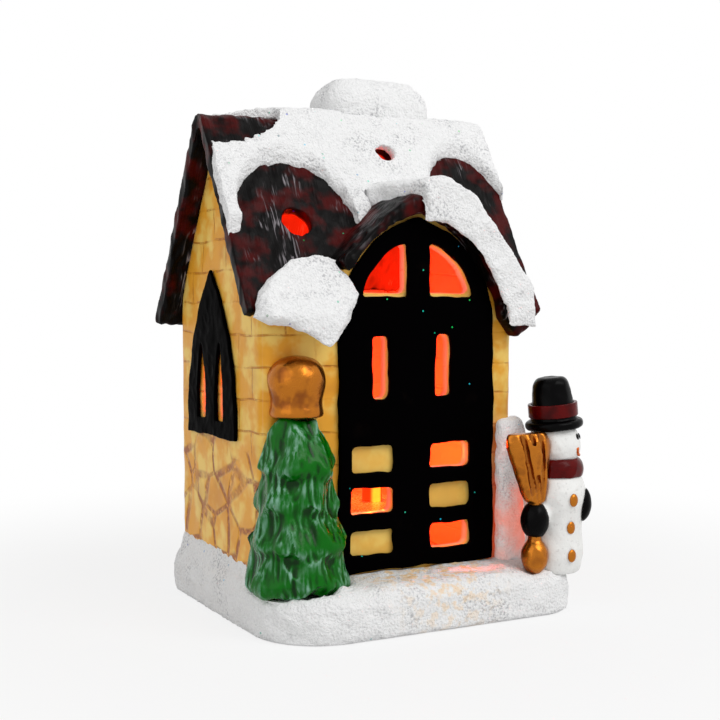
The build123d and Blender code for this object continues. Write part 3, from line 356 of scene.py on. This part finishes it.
def snow_finish(name, settings, blush=0.0):
    """Gritty white coat with painted shade and grey specks between its grains, a little glitter, a painted
    pool of lamp light before the door and painted lamp light shining through.
    """
    coat = Finish(name)
    grit = coat.noise(settings.grain / MM * 0.5, 4.0)
    patch = coat.noise(7.0, 3.0)
    # Grey between the grains: painted shade in their pits, with grey specks, in random patches and none at
    # the very bottom.
    hollow = coat.rise(grit, 0.56, 0.30) * (0.12 + 0.88 * coat.rise(patch, 0.46, 0.70))
    hollow = hollow * coat.rise(coat.z, 0.05, 0.40)
    base = coat.mix(hollow, linear(settings.white), linear(settings.shade))
    # Painted pool of lamp light on the snow before the door, in patches.
    reach = coat.distance(Vector((DOOR_X, DOOR_LOW.y, DOOR_LOW.z)))
    door_light_pool = coat.rise(reach, 24.0, 8.0) * coat.rise(coat.noise(2.0, 3.0), 0.46, 0.62)
    base = coat.mix(door_light_pool * 0.7, base, linear(settings.spill))
    fleck, shown = coat.specks(1.3, settings.glitter, 0.22)
    base = coat.mix(fleck * 0.55, base, shown)
    coat.set(Base_Color=base, Roughness=0.86 - fleck * 0.5, Specular_IOR_Level=0.3)
    if blush:
        # Painted lamp light through the snow bank: a grey-white glow all over and a warm blush low down, in
        # both base colour and emission.
        warm = coat.rise(coat.noise(9.0, 2.0), 0.30, 0.70) * coat.rise(coat.z, 46.0, 24.0)
        glow = coat.mix(warm, linear(SNOW_SHEEN), linear(settings.blush))
        base = coat.mix(warm * 0.6, base, linear(settings.blush))
        coat.set(Base_Color=base, Emission_Color=glow, Emission_Strength=blush)
    coat.bump(grit + coat.noise(settings.grain / MM * 2.0, 2.0) * 0.6, 0.55)
    return coat.material


def wall_depths(finish):
    """How deep a place lies inside the outer faces of the side walls, and of the front and back."""
    low, high = WALL_LOW / MM, WALL_HIGH / MM
    across = (finish.x - low.x).least(high.x - finish.x)
    along = (finish.y - low.y).least(high.y - finish.y)
    return across, along


def inside_mask(finish, start, end):
    """Mask that rises between two depths inside the outer faces of the walls."""
    across, along = wall_depths(finish)
    return finish.rise(across.least(along), start, end)


def glow_colour(finish, settings, mask):
    """Lamp light on the inner clay, yellower near the LED."""
    reach = finish.distance(Vector((LED_X, LED_Y, LED_HIGH.z)))
    near = finish.rise(reach, 26.0, 12.0) * 0.22
    warm = finish.mix(near, linear(settings.glow), linear(NEAR_LAMP))
    cloud = finish.noise(9.0) * 0.5 + 0.6
    return finish.mix(mask * cloud, UNLIT, warm)


def wall_finish(name, settings, lit=True):
    """Cream glaze with bricks brushed on by hand, stones low on the left, painted lamp light low right of the
    door and, where lit, a glow inside.
    """
    clay = Finish(name)
    low = WALL_LOW / MM
    across, along = wall_depths(clay)
    side = across.below(along)
    run = clay.x + (clay.y - clay.x) * side
    wobble = clay.noise(9.0, 1.0) * 2.6
    sway = clay.noise(11.0, 1.0, where=clay.vector(clay.y, clay.z, clay.x)) * 2.2
    unit = settings.brick_height / MM
    flat = clay.vector((run + wobble) / unit, (clay.z + sway - 1.4) / unit, 0.0)
    bricks = clay.add(
        "ShaderNodeTexBrick",
        {"offset": 0.5, "squash": 1.0},
        {
            "Vector": flat,
            "Scale": 1.0,
            "Mortar Size": 0.045,
            "Mortar Smooth": 0.7,
            "Brick Width": settings.brick_length / settings.brick_height,
            "Row Height": 1.0,
        },
        "Fac",
    )
    stone = clay.add(
        "ShaderNodeTexVoronoi",
        {"feature": "DISTANCE_TO_EDGE"},
        {"Vector": clay.vector((run + wobble) / 10.5, (clay.z + sway) / 9.0, 0.0), "Scale": 1.0},
    )
    rough = clay.noise(16.0, 2.0)
    low_left = clay.rise(clay.z + rough * 22.0, 52.0, 49.0) * clay.rise(clay.x, low.x + 12.0, low.x + 6.0)
    seams = clay.rise(stone, 0.085, 0.03)
    brush = clay.noise(1.3, 3.0)
    broken = clay.rise(clay.noise(5.0, 2.0), 0.34, 0.58) * 0.6 + 0.15
    lines = bricks * (1 - low_left) * broken + seams * low_left * (0.35 + broken * 0.8)
    beyond = abs(clay.x - DOOR_X / MM) - DOOR_HALF_WIDTH / MM
    pane = clay.rise(beyond, 0.0, -1.5) * clay.rise(clay.y, low.y + 2.5, low.y + 1.0)
    lines = lines * (1 - pane)
    pale = clay.rise(clay.noise(6.5, 3.0), 0.44, 0.64)
    cream = clay.mix(pale, linear(settings.wall), linear(settings.wall_pale))
    stain = clay.rise(clay.noise(10.0, 3.0), 0.48, 0.70) * 0.32
    cream = clay.mix(stain, cream, linear(settings.line))
    cream = clay.mix(pane * 0.5, cream, linear(settings.wall_pale))
    ink = clay.mix(low_left * 0.7, linear(settings.line), linear(settings.stone_line))
    base = clay.mix(lines * clay.rise(brush, 0.25, 0.55), cream, ink)
    # Painted lamp light shining through the front wall, low down on the right of the door.
    beside = clay.rise(clay.x, 20.0, 24.0) * clay.rise(clay.z + rough * 24.0, 66.0, 40.0)
    beside = beside * clay.rise(clay.y, low.y + 5.0, low.y + 1.0)
    base = clay.mix(beside * 0.75, base, linear(settings.wall_blush))
    if lit:
        base = clay.mix(inside_mask(clay, 0.5, 1.6), base, linear(BARE_CLAY))
        lamplight = inside_mask(clay, 0.8, 1.8) * 0.45 + inside_mask(clay, 2.9, 3.5) * 0.55
        glow = glow_colour(clay, settings, lamplight)
        clay.set(Emission_Color=glow, Emission_Strength=settings.glow_strength)
    clay.set(
        Base_Color=base,
        Roughness=0.32 + brush * 0.18,
        Specular_IOR_Level=0.2,
        Coat_Weight=0.06,
        Coat_Roughness=0.12,
    )
    clay.bump(brush * 0.12 - lines, 0.25)
    return clay.material


def roof_finish(settings):
    """Near black glaze with red in the furrows, white brushed over the ridges that partly stands for painted
    gloss glints, and painted lamp light on the inside.
    """
    glaze = Finish("roof_glaze")
    relief = glaze.attribute("relief")
    under = (ROOF_PEAK / MM - glaze.z) * cos(ROOF_PITCH) - abs(glaze.y - RIDGE_Y / MM) * sin(ROOF_PITCH)
    hood = glaze.rise(under, -0.4, -1.4)
    across = glaze.x - WALL_LOW.x / MM
    red = glaze.rise(glaze.noise(7.0, 3.0), 0.47, 0.66)
    base = glaze.mix(red, linear(settings.roof), linear(settings.roof_red))
    main = glaze.noise(0.42, 3.0, (1.0, 0.10, 0.055))
    front = glaze.noise(0.42, 3.0, (0.06, 1.0, 0.06))
    streak = main + (front - main) * hood
    # White streaks on the ridges: partly real dry-brush, partly painted glints of the glaze's gloss.
    dry_brush_and_glint = glaze.rise(streak, 0.50, 0.68) * glaze.rise(relief, -0.16, 0.10)
    frost = dry_brush_and_glint * glaze.rise(glaze.noise(8.0, 2.0), 0.52, 0.66) * glaze.rise(across, -2.6, -0.6)
    base = glaze.mix(frost * 0.55, base, linear(settings.roof_frost_and_glint))
    # Painted lamp glow on the roof's inner faces, inside the walls and under the slopes.
    deep = inside_mask(glaze, 2.2, 3.0) * glaze.rise(under, 2.2, 3.3)
    fleck, shown = glaze.specks(1.5, 0.03, 0.14)
    base = glaze.mix(fleck * 0.6, base, shown)
    glaze.set(
        Base_Color=base,
        Roughness=0.30 + frost * 0.4 + streak * 0.12,
        IOR=1.16,
        Emission_Color=glow_colour(glaze, settings, deep),
        Emission_Strength=settings.glow_strength,
    )
    glaze.bump(streak, 0.15)
    return glaze.material


def black_finish(name, settings, ior):
    """Black brushed glaze with sparse glitter that stuck in it."""
    glaze = Finish(name)
    brush = glaze.noise(2.4, 3.0, (1.0, 1.0, 0.35))
    fleck, shown = glaze.specks(1.6, 0.045, 0.13)
    brown = glaze.rise(glaze.noise(6.0, 3.0), 0.62, 0.80) * 0.3
    base = glaze.mix(brown, linear(settings.black), linear(BROWN_TINGE))
    base = glaze.mix(fleck * 0.8, base, shown)
    glaze.set(Base_Color=base, Roughness=0.22 + brush * 0.12, IOR=ior)
    glaze.bump(brush, 0.08)
    return glaze.material


def gold_finish(name, settings, pooling):
    """Copper gold lustre, darker where it pooled."""
    lustre = Finish(name)
    relief = lustre.attribute("relief")
    cloud = lustre.noise(3.6, 2.0)
    pool = lustre.rise(relief + (cloud - 0.5) * 0.9, 0.08, -0.14) * pooling
    base = lustre.mix(pool, linear(settings.gold), linear(settings.gold_dark))
    lustre.set(Base_Color=base, Metallic=0.95 - pool * 0.2, Roughness=0.18 + cloud * 0.16)
    lustre.bump(lustre.noise(1.4, 2.0), 0.10)
    return lustre.material


def green_finish(settings):
    """Green glaze with white brushed over the bough tips."""
    glaze = Finish("green_glaze")
    relief = glaze.attribute("relief")
    streak = glaze.noise(0.8, 3.0, (1.0, 1.0, 0.16))
    pool = glaze.rise(relief + (streak - 0.5) * 0.3, 0.04, -0.24)
    base = glaze.mix(pool, linear(settings.green), linear(settings.deep))
    patch = glaze.rise(glaze.noise(6.0, 2.0), 0.38, 0.62)
    frost = glaze.rise(streak + relief * 0.2, 0.40, 0.72) * glaze.rise(relief, -0.12, 0.16) * patch
    base = glaze.mix(frost * 0.62, base, linear(settings.frost))
    glaze.set(Base_Color=base, Roughness=0.20 + frost * 0.35, Specular_IOR_Level=0.14)
    glaze.bump(streak, 0.10)
    return glaze.material


def gloss_finish(name, shown, grain=4.0):
    """Glossy glaze of one colour that pools a little darker."""
    glaze = Finish(name)
    cloud = glaze.noise(grain, 3.0)
    dark = linear([c * 0.55 for c in shown])
    base = glaze.mix(glaze.rise(cloud, 0.40, 0.70) * 0.8, linear(shown), dark)
    glaze.set(Base_Color=base, Roughness=0.16 + cloud * 0.10, Specular_IOR_Level=0.10)
    glaze.bump(glaze.noise(1.8, 2.0), 0.05)
    return glaze.material


def white_finish(settings):
    """White glaze over rough clay, greyer in its pores."""
    glaze = Finish("white_glaze")
    pore = glaze.noise(0.8, 3.0)
    base = glaze.mix(glaze.rise(pore, 0.42, 0.30) * 0.35, linear(settings.white), linear(PORE_GREY))
    glaze.set(Base_Color=base, Roughness=0.45 + pore * 0.2)
    glaze.bump(pore, 0.10)
    return glaze.material


def plastic_finish(name, shown, roughness=0.35, grain=0.6, metallic=0.0, clear=0.0):
    """Moulded plastic or metal with a fine grain and faint clouding, and how clear it is."""
    skin = Finish(name)
    speck = skin.noise(grain, 2.0)
    dark = linear([c * 0.86 for c in shown])
    base = skin.mix(skin.noise(5.0, 2.0), linear(shown), dark)
    skin.set(Base_Color=base, Roughness=roughness + speck * 0.15)
    skin.set(Metallic=metallic, Transmission_Weight=clear)
    skin.bump(speck, 0.03)
    return skin.material


def lens_finish(settings):
    """Tinted LED lens, lit from within."""
    lens = Finish("led_lens")
    cloud = lens.noise(2.0, 2.0)
    core = lens.rise(abs(lens.x - LED_X / MM), 1.7, 0.7)
    base = lens.mix(core * (0.6 + 0.4 * cloud), linear(LENS_RIM), linear(settings.lens))
    lens.set(Base_Color=base, Roughness=0.12 + cloud * 0.1, Emission_Color=base, Emission_Strength=1.6)
    return lens.material


def node_mesh(node):
    """Copy of a CAD node's mesh with its doubles merged."""
    mesh = bmesh.new()
    mesh.from_mesh(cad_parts[node].data)
    bmesh.ops.remove_doubles(mesh, verts=mesh.verts, dist=2e-6)
    bmesh.ops.recalc_face_normals(mesh, faces=mesh.faces)
    return mesh


def looks_down(face):
    """Whether a face looks down onto what carries it."""
    return face.normal.z < -STEEP


def looks_up(face):
    """Whether a face of the walls looks up at the underside of the roof."""
    return face.normal.z > STEEP and face.calc_center_median().z > WALL_TOPS


def looks_in(face):
    """Whether a face of the snow on the ground lies on the base or looks in at the house."""
    middle = face.calc_center_median()
    return (looks_down(face) and middle.z > BASE_TOP) or face.normal.xy.dot(middle.xy.normalized()) < -0.4


def sink(mesh, depth, pick):
    """Push picked faces further out, so that a coat roots in what carries it."""
    mesh.normal_update()
    rooted = {}
    for face in filter(pick, mesh.faces):
        for vert in face.verts:
            rooted.setdefault(vert, []).append(face.normal.copy())
    for vert, normals in rooted.items():
        vert.co += sum(normals, Vector()).normalized() * depth


def thin_out(mesh, run, drop, weight):
    """Press the left end of a coat into what carries it, by a weight at each place, so that it ends thin."""
    start = min(vert.co.x for vert in mesh.verts)
    for vert in mesh.verts:
        left = max(0.0, 1.0 - (vert.co.x - start) / run)
        vert.co += Vector(drop) * left**1.5 * weight(vert.co)
    mesh.normal_update()


def stretch_down(mesh, skirt):
    """Stretch the lowest part of a coat down to just above the floor."""
    lowest = min(vert.co.z for vert in mesh.verts)
    for vert in mesh.verts:
        if vert.co.z < skirt:
            vert.co.z = SKIRT_FOOT + (vert.co.z - lowest) * (skirt - SKIRT_FOOT) / (skirt - lowest)
    mesh.normal_update()


def soften(mesh, voxel, rounds):
    """Even skin of small squares over a mesh, with its edges rubbed soft."""
    data = bpy.data.meshes.new("rough_form")
    mesh.to_mesh(data)
    mesh.free()
    holder = bpy.data.objects.new("rough_form", data)
    bpy.context.scene.collection.objects.link(holder)
    remesh = holder.modifiers.new("skin", "REMESH")
    remesh.mode = "VOXEL"
    remesh.voxel_size = voxel
    skin = bpy.data.meshes.new_from_object(holder.evaluated_get(bpy.context.evaluated_depsgraph_get()))
    bpy.data.objects.remove(holder)
    bpy.data.meshes.remove(data)
    soft = bmesh.new()
    soft.from_mesh(skin)
    bpy.data.meshes.remove(skin)
    for _ in range(rounds):
        bmesh.ops.smooth_vert(
            soft, verts=soft.verts, factor=0.5, use_axis_x=True, use_axis_y=True, use_axis_z=True
        )
    soft.normal_update()
    return soft


def roughen(mesh, size, height, stretch=(1, 1, 1)):
    """Press each point in along its normal by cloudy noise of a size and a height."""
    mesh.normal_update()
    scale = Vector(stretch) / size
    for vert in mesh.verts:
        vert.co -= vert.normal * (abs(noise.noise(vert.co * scale)) * height)
    mesh.normal_update()


def waver(mesh, size, height, axes=(1, 1, 1)):
    """Let the outline of a piece waver, as if cut by hand, and the same in each run."""
    noise.seed_set(WAVER_SEED)
    for vert in mesh.verts:
        drift = noise.noise_vector(vert.co / size)
        vert.co += Vector(d * a for d, a in zip(drift, axes)) * height


def mark_relief(mesh):
    """Store at each point how far it stands out from its neighbours, for brushed and pooled colour."""
    layer = mesh.verts.layers.float.new("relief")
    mesh.normal_update()
    raw = {}
    for vert in mesh.verts:
        others = [edge.other_vert(vert).co for edge in vert.link_edges]
        middle = sum(others, Vector()) / len(others)
        reach = sum((other - vert.co).length for other in others) / len(others)
        raw[vert] = (vert.co - middle).dot(vert.normal) / max(reach, 1e-9)
    for vert in mesh.verts:
        near = [raw[edge.other_vert(vert)] for edge in vert.link_edges]
        vert[layer] = (raw[vert] + sum(near)) / (1 + len(near)) * 4.0


def make_piece(name, mesh, material, node):
    """Finish a mesh as a piece that rides on the house and, where a CAD node is named, stands for it."""
    for face in mesh.faces:
        face.smooth = True
    data = bpy.data.meshes.new(name)
    mesh.to_mesh(data)
    mesh.free()
    data.materials.append(material)
    piece = bpy.data.objects.new(name, data)
    bpy.context.scene.collection.objects.link(piece)
    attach(piece, "house")
    if node:
        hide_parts(node)


def dress(node, material):
    """Give a CAD node a material."""
    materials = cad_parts[node].data.materials
    materials.clear()
    materials.append(material)


class VILLAGE_OT_base(bpy.types.Operator):
    """Coat the rim of the base in snow and leave its underside plain"""

    bl_idname = "village.base"
    bl_label = "Base"

    def execute(self, context):
        dress("base_slab", snow_finish("base_coat", context.scene.village_house.snow))
        return {"FINISHED"}


class VILLAGE_OT_snow(bpy.types.Operator):
    """Lay the gritty snow on the ground, the roofs, the eave and the chimney, and bank it by the door"""

    bl_idname = "village.snow"
    bl_label = "Snow"

    def execute(self, context):
        settings = context.scene.village_house.snow
        coat = snow_finish("snow_coat", settings)
        lit = snow_finish("lit_snow", settings, 0.4)
        for node, voxel, rounds, material, pick in (
            ("ground_snow", 0.55, 18, coat, looks_in),
            ("snow_bank", 0.34, 60, lit, looks_down),
            ("roof_snow", 0.48, 14, coat, looks_down),
            ("hood_snow", 0.42, 34, coat, looks_down),
            ("eave_snow", 0.36, 50, coat, looks_down),
            ("chimney_snow", 0.40, 12, coat, looks_down),
        ):
            mesh = node_mesh(node)
            sink(mesh, SNOW_ROOT, pick)
            mesh = soften(mesh, voxel * MM, rounds)
            if node == "hood_snow":
                front = min(vert.co.y for vert in mesh.verts)
                back = max(vert.co.y for vert in mesh.verts)
                fall = (0, 0, -settings.thin_drop)
                thin_out(mesh, settings.thin_run, fall, lambda co: ((back - co.y) / (back - front)) ** 2)
            elif node == "roof_snow":
                slope = Vector((1.6, -sin(ROOF_PITCH), -cos(ROOF_PITCH))) * settings.thin_drop / 2
                thin_out(mesh, settings.thin_run / 2, slope, lambda co: co.y > RIDGE_Y + 3.0 * MM)
            elif node == "ground_snow":
                stretch_down(mesh, settings.skirt)
            roughen(mesh, settings.lump, settings.lump_height)
            roughen(mesh, settings.lump / 3, settings.lump_height / 2)
            roughen(mesh, settings.grain, settings.grain_height)
            make_piece("gritty_" + node, mesh, material, node)
        return {"FINISHED"}


class VILLAGE_OT_walls(bpy.types.Operator):
    """Glaze the walls with brushed bricks and light them from inside"""

    bl_idname = "village.walls"
    bl_label = "Walls and Chimney"

    def execute(self, context):
        settings = context.scene.village_house.house
        clay = wall_finish("wall_glaze", settings)
        mesh = node_mesh("house_walls")
        sink(mesh, WALL_ROOT, looks_up)
        mesh = soften(mesh, 0.72 * MM, 2)
        roughen(mesh, 9.0 * MM, 0.30 * MM)
        make_piece("glazed_walls", mesh, clay, "house_walls")
        mesh = soften(node_mesh("chimney"), 0.5 * MM, 4)
        roughen(mesh, 6.0 * MM, 0.30 * MM)
        clay = wall_finish("chimney_glaze", settings, False)
        make_piece("glazed_chimney", mesh, clay, "chimney")
        return {"FINISHED"}


class VILLAGE_OT_roof(bpy.types.Operator):
    """Cut furrows into the roof and glaze it"""

    bl_idname = "village.roof"
    bl_label = "Roof"

    def execute(self, context):
        settings = context.scene.village_house.house
        mesh = soften(node_mesh("roof"), 0.50 * MM, 5)
        roughen(mesh, 6.0 * MM, 0.7 * MM, (1.0, 1.0, 0.45))
        roughen(mesh, 2.4 * MM, 0.7 * MM, (1.0, 0.7, 0.35))
        mark_relief(mesh)
        make_piece("furrowed_roof", mesh, roof_finish(settings), "roof")
        return {"FINISHED"}


class VILLAGE_OT_door(bpy.types.Operator):
    """Cut the door panel and the side windows by hand and glaze them black"""

    bl_idname = "village.door"
    bl_label = "Door and Windows"

    def execute(self, context):
        glaze = black_finish("black_glaze", context.scene.village_house.house, 1.03)
        for node, voxel, axes in (
            ("door_panel", 0.30, (1, 0.25, 1)),
            ("left_window_frame", 0.26, (0.25, 1, 1)),
            ("right_window_frame", 0.26, (0.25, 1, 1)),
        ):
            mesh = soften(node_mesh(node), voxel * MM, 3)
            waver(mesh, 5.0 * MM, 0.45 * MM, axes)
            roughen(mesh, 3.0 * MM, 0.15 * MM)
            make_piece("glazed_" + node, mesh, glaze, node)
        return {"FINISHED"}


class VILLAGE_OT_tree(bpy.types.Operator):
    """Furrow the boughs of the tree, frost them and gild the topper"""

    bl_idname = "village.tree"
    bl_label = "Tree"

    def execute(self, context):
        settings = context.scene.village_house.tree
        mesh = soften(node_mesh("tree"), 0.36 * MM, 24)
        waver(mesh, 8.0 * MM, 1.4 * MM)
        roughen(mesh, 5.5 * MM, settings.furrow * 3.0, (1.0, 1.0, 0.55))
        roughen(mesh, 1.9 * MM, settings.furrow * 0.8, (1.0, 1.0, 0.22))
        mark_relief(mesh)
        make_piece("frosted_tree", mesh, green_finish(settings), "tree")
        mesh = soften(node_mesh("tree_topper"), 0.24 * MM, 6)
        roughen(mesh, 5.0 * MM, 0.3 * MM)
        mark_relief(mesh)
        gold = gold_finish("topper_gold", settings, 0.6)
        make_piece("gold_topper", mesh, gold, "tree_topper")
        return {"FINISHED"}


class VILLAGE_OT_snowman(bpy.types.Operator):
    """Glaze the snowman with its hat, band, scarf, buttons, broom, mittens and face"""

    bl_idname = "village.snowman"
    bl_label = "Snowman"

    def execute(self, context):
        settings = context.scene.village_house.snowman
        gold = gold_finish("gold_lustre", context.scene.village_house.tree, 0.35)
        black = black_finish("hat_glaze", context.scene.village_house.house, 1.14)
        red = gloss_finish("red_glaze", settings.red)
        for node, name, voxel, rounds, lump, material, slot in (
            ("snowman_body", "glazed_snowman", 0.34, 5, 0.30, white_finish(settings), "white_glaze"),
            ("snowman_hat", "black_hat", 0.26, 3, 0.20, black, "black_glaze"),
            ("hat_band", "red_band", 0.16, 1, 0.05, red, "red_glaze"),
            ("scarf", "red_scarf", 0.22, 5, 0.25, red, "red_glaze"),
            ("snowman_buttons", "gold_buttons", 0.16, 2, 0.10, gold, "gold_lustre"),
            ("broom", "gold_broom", 0.22, 14, 0.25, gold, "gold_lustre"),
            ("mittens", "black_mittens", 0.22, 3, 0.20, black, "black_glaze"),
        ):
            mesh = soften(node_mesh(node), voxel * MM, rounds)
            roughen(mesh, 3.2 * MM, lump * MM)
            mark_relief(mesh)
            make_piece(name, mesh, material, node)
        self.face(settings, black)
        return {"FINISHED"}

    def face(self, settings, black):
        """Two painted eyes and a thin curved nose on the head."""
        across, along = (BUTTON_LOW.x + BUTTON_HIGH.x) / 2, (HAT_LOW.y + HAT_HIGH.y) / 2
        middle = Vector((across, along, BODY_HIGH.z - HEAD_RADIUS))

        def on_head(turn, lift):
            """Frame on the head's skin, looking out, at a turn from the front and a lift from the level."""
            way = Vector((sin(turn) * cos(lift), -cos(turn) * cos(lift), sin(lift)))
            turned = way.to_track_quat("Z", "Y").to_matrix().to_4x4()
            return Matrix.Translation(middle + way * HEAD_RADIUS * 0.975) @ turned

        eyes = bmesh.new()
        for side in (-1, 1):
            made = bmesh.ops.create_uvsphere(eyes, u_segments=20, v_segments=12, radius=settings.eye_radius)
            bmesh.ops.scale(eyes, verts=made["verts"], vec=(1.0, 1.3, 0.5))
            place = on_head(settings.face_turn + side * settings.eye_spread, radians(19))
            bmesh.ops.transform(eyes, matrix=place, verts=made["verts"])
        make_piece("painted_eyes", eyes, black, None)
        nose = bmesh.new()
        bend = settings.nose_length
        made = bmesh.ops.create_circle(nose, cap_ends=True, segments=14, radius=bend * 0.13)
        bmesh.ops.rotate(nose, verts=made["verts"], cent=(0, 0, 0), matrix=Matrix.Rotation(pi / 2, 3, "X"))
        bmesh.ops.translate(nose, verts=made["verts"], vec=(-bend, 0, 0))
        bmesh.ops.spin(
            nose,
            geom=nose.faces[:],
            cent=(0, 0, 0),
            axis=(0, 0, 1),
            angle=radians(58),
            steps=12,
            use_merge=False,
        )
        bmesh.ops.translate(nose, verts=nose.verts, vec=(bend * 0.8, bend * 0.4, 0))
        bmesh.ops.rotate(nose, verts=nose.verts, cent=(0, 0, 0), matrix=Matrix.Rotation(radians(20), 3, "Z"))
        bmesh.ops.holes_fill(nose, edges=nose.edges)
        bmesh.ops.recalc_face_normals(nose, faces=nose.faces)
        place = on_head(settings.face_turn - radians(6), radians(-14))
        bmesh.ops.transform(nose, matrix=place, verts=nose.verts)
        carrot = gloss_finish("carrot_glaze", settings.carrot, 1.5)
        make_piece("carrot_nose", nose, carrot, None)


class VILLAGE_OT_lamp(bpy.types.Operator):
    """Finish the pull-out lamp and light it"""

    bl_idname = "village.lamp"
    bl_label = "Lamp"

    def execute(self, context):
        settings = context.scene.village_house.lamp
        plastic = plastic_finish("white_plastic", settings.plastic)
        steel = plastic_finish("steel", (0.72, 0.73, 0.75), 0.25, 0.4, 1.0)
        brass = plastic_finish("contact_brass", (0.80, 0.66, 0.36), 0.28, 0.4, 1.0)
        finishes = {
            "lamp_plate": plastic,
            "battery_cap": plastic,
            "lamp_cup": plastic_finish("clear_plastic", (0.93, 0.92, 0.88), 0.2, 0.5, 0.0, 0.6),
            "gripping_ring": plastic_finish("soft_rubber", (0.78, 0.78, 0.76), 0.6, 0.3),
            "lamp_screws": steel,
            "led_leads": steel,
            "button_cells": steel,
            "upper_contact": brass,
            "lower_contact": brass,
            "cap_contact": brass,
            "circuit_board": plastic_finish("board", (0.05, 0.30, 0.12), 0.4, 0.5),
            "switch_case": plastic_finish("dark_plastic", (0.05, 0.05, 0.05), 0.4, 0.5),
            "switch_knob": plastic_finish("black_plastic", (0.06, 0.06, 0.06), 0.35, 0.5),
            "led": lens_finish(settings),
        }
        for node, material in finishes.items():
            dress(node, material)
        light = bpy.data.lights.new("lamp_light", "POINT")
        light.color = linear(settings.light)[:3]
        light.energy = settings.power
        light.shadow_soft_size = 1.5 * MM
        glow = bpy.data.objects.new("lamp_light", light)
        glow.location = (LED_X, LED_Y, LED_HIGH.z + 5.0 * MM)
        context.scene.collection.objects.link(glow)
        return {"FINISHED"}


class VILLAGE_OT_stage(bpy.types.Operator):
    """Set the floor, the studio light and the camera"""

    bl_idname = "village.stage"
    bl_label = "Stage"

    def execute(self, context):
        settings = context.scene.village_house.stage
        scene = context.scene
        scene.view_settings.view_transform = "Standard"
        self.floor(settings)
        world = bpy.data.worlds.new("studio")
        scene.world = world
        world.use_nodes = True
        tree = world.node_tree
        back = tree.nodes["Background"]
        back.inputs["Color"].default_value = WHITE
        path = tree.nodes.new("ShaderNodeLightPath")
        strength = tree.nodes.new("ShaderNodeMapRange")
        seen = path.outputs["Is Camera Ray"]
        for ray in BACKGROUND_RAYS:
            either = tree.nodes.new("ShaderNodeMath")
            either.operation = "MAXIMUM"
            tree.links.new(seen, either.inputs[0])
            tree.links.new(path.outputs[ray], either.inputs[1])
            seen = either.outputs[0]
        tree.links.new(seen, strength.inputs[0])
        strength.inputs[3].default_value = settings.sky
        strength.inputs[4].default_value = 1.0
        tree.links.new(strength.outputs[0], back.inputs["Strength"])
        target = Vector((0.0, 0.0, 0.055))
        for name, power, size, place in (
            ("key", settings.key, 0.5, (0.25, -0.55, 0.60)),
            ("fill", settings.fill, 0.6, (-0.65, -0.25, 0.35)),
        ):
            light = bpy.data.lights.new(name, "AREA")
            light.size = size
            light.energy = power
            lamp = bpy.data.objects.new(name, light)
            lamp.location = place
            lamp.rotation_euler = (target - Vector(place)).to_track_quat("-Z", "Y").to_euler()
            scene.collection.objects.link(lamp)
        data = bpy.data.cameras.new("camera")
        data.lens = settings.lens
        data.sensor_width = 36.0
        data.clip_start = 0.01
        camera = bpy.data.objects.new("camera", data)
        camera.location = settings.camera_place
        camera.rotation_euler = (pi / 2 - settings.camera_dip, 0.0, settings.camera_turn)
        scene.collection.objects.link(camera)
        scene.camera = camera
        return {"FINISHED"}

    def floor(self, settings):
        """Plain pale floor that keeps the shadow near the house and turns white further off."""
        mesh = bmesh.new()
        bmesh.ops.create_grid(mesh, x_segments=8, y_segments=8, size=3.0)
        data = bpy.data.meshes.new("floor")
        mesh.to_mesh(data)
        mesh.free()
        paper = Finish("floor_paper")
        grain = paper.noise(6.0, 2.0)
        shown = linear(settings.floor)
        base = paper.mix(grain, shown, linear([c * 0.985 for c in settings.floor]))
        paper.set(Base_Color=base, Roughness=0.9, Specular_IOR_Level=0.1)
        white = paper.add("ShaderNodeEmission", {}, {"Color": WHITE, "Strength": 1.0})
        seen = paper.add("ShaderNodeLightPath", out="Is Camera Ray")
        for ray in BACKGROUND_RAYS:
            seen = seen.most(paper.add("ShaderNodeLightPath", out=ray))
        reach = paper.add("ShaderNodeVectorMath", {"operation": "LENGTH"}, {0: paper.place}, "Value")
        near = paper.rise(reach, FLOOR_FAR, FLOOR_NEAR)
        seen = seen * (1 - near * (1 - settings.floor_glow))
        lit = Value(paper, paper.shader.outputs[0])
        mixed = paper.add("ShaderNodeMixShader", {}, {0: seen, 1: lit, 2: white})
        paper.feed(paper.tree.nodes["Material Output"].inputs["Surface"], mixed)
        data.materials.append(paper.material)
        floor = bpy.data.objects.new("floor", data)
        floor.location.z = -FLOOR_DROP
        bpy.context.scene.collection.objects.link(floor)


OPERATORS = (
    VILLAGE_OT_base,
    VILLAGE_OT_snow,
    VILLAGE_OT_walls,
    VILLAGE_OT_roof,
    VILLAGE_OT_door,
    VILLAGE_OT_tree,
    VILLAGE_OT_snowman,
    VILLAGE_OT_lamp,
    VILLAGE_OT_stage,
)


class VILLAGE_PT_panel(bpy.types.Panel):
    """List of the house's pieces in the sidebar"""

    bl_idname = "VILLAGE_PT_panel"
    bl_label = "Village House"
    bl_space_type = "VIEW_3D"
    bl_region_type = "UI"
    bl_category = "Village House"

    def draw(self, context):
        for operator in OPERATORS:
            self.layout.operator(operator.bl_idname)


CLASSES = (
    SnowSettings,
    HouseSettings,
    TreeSettings,
    SnowmanSettings,
    LampSettings,
    StageSettings,
    VillageHouseSettings,
    *OPERATORS,
    VILLAGE_PT_panel,
)


def register():
    for cls in CLASSES:
        bpy.utils.register_class(cls)
    bpy.types.Scene.village_house = PointerProperty(type=VillageHouseSettings)


def unregister():
    del bpy.types.Scene.village_house
    for cls in reversed(CLASSES):
        bpy.utils.unregister_class(cls)


def main():
    register()
    bpy.ops.village.base()
    bpy.ops.village.snow()
    bpy.ops.village.walls()
    bpy.ops.village.roof()
    bpy.ops.village.door()
    bpy.ops.village.tree()
    bpy.ops.village.snowman()
    bpy.ops.village.lamp()
    bpy.ops.village.stage()
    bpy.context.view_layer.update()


if __name__ == "__main__":
    main()
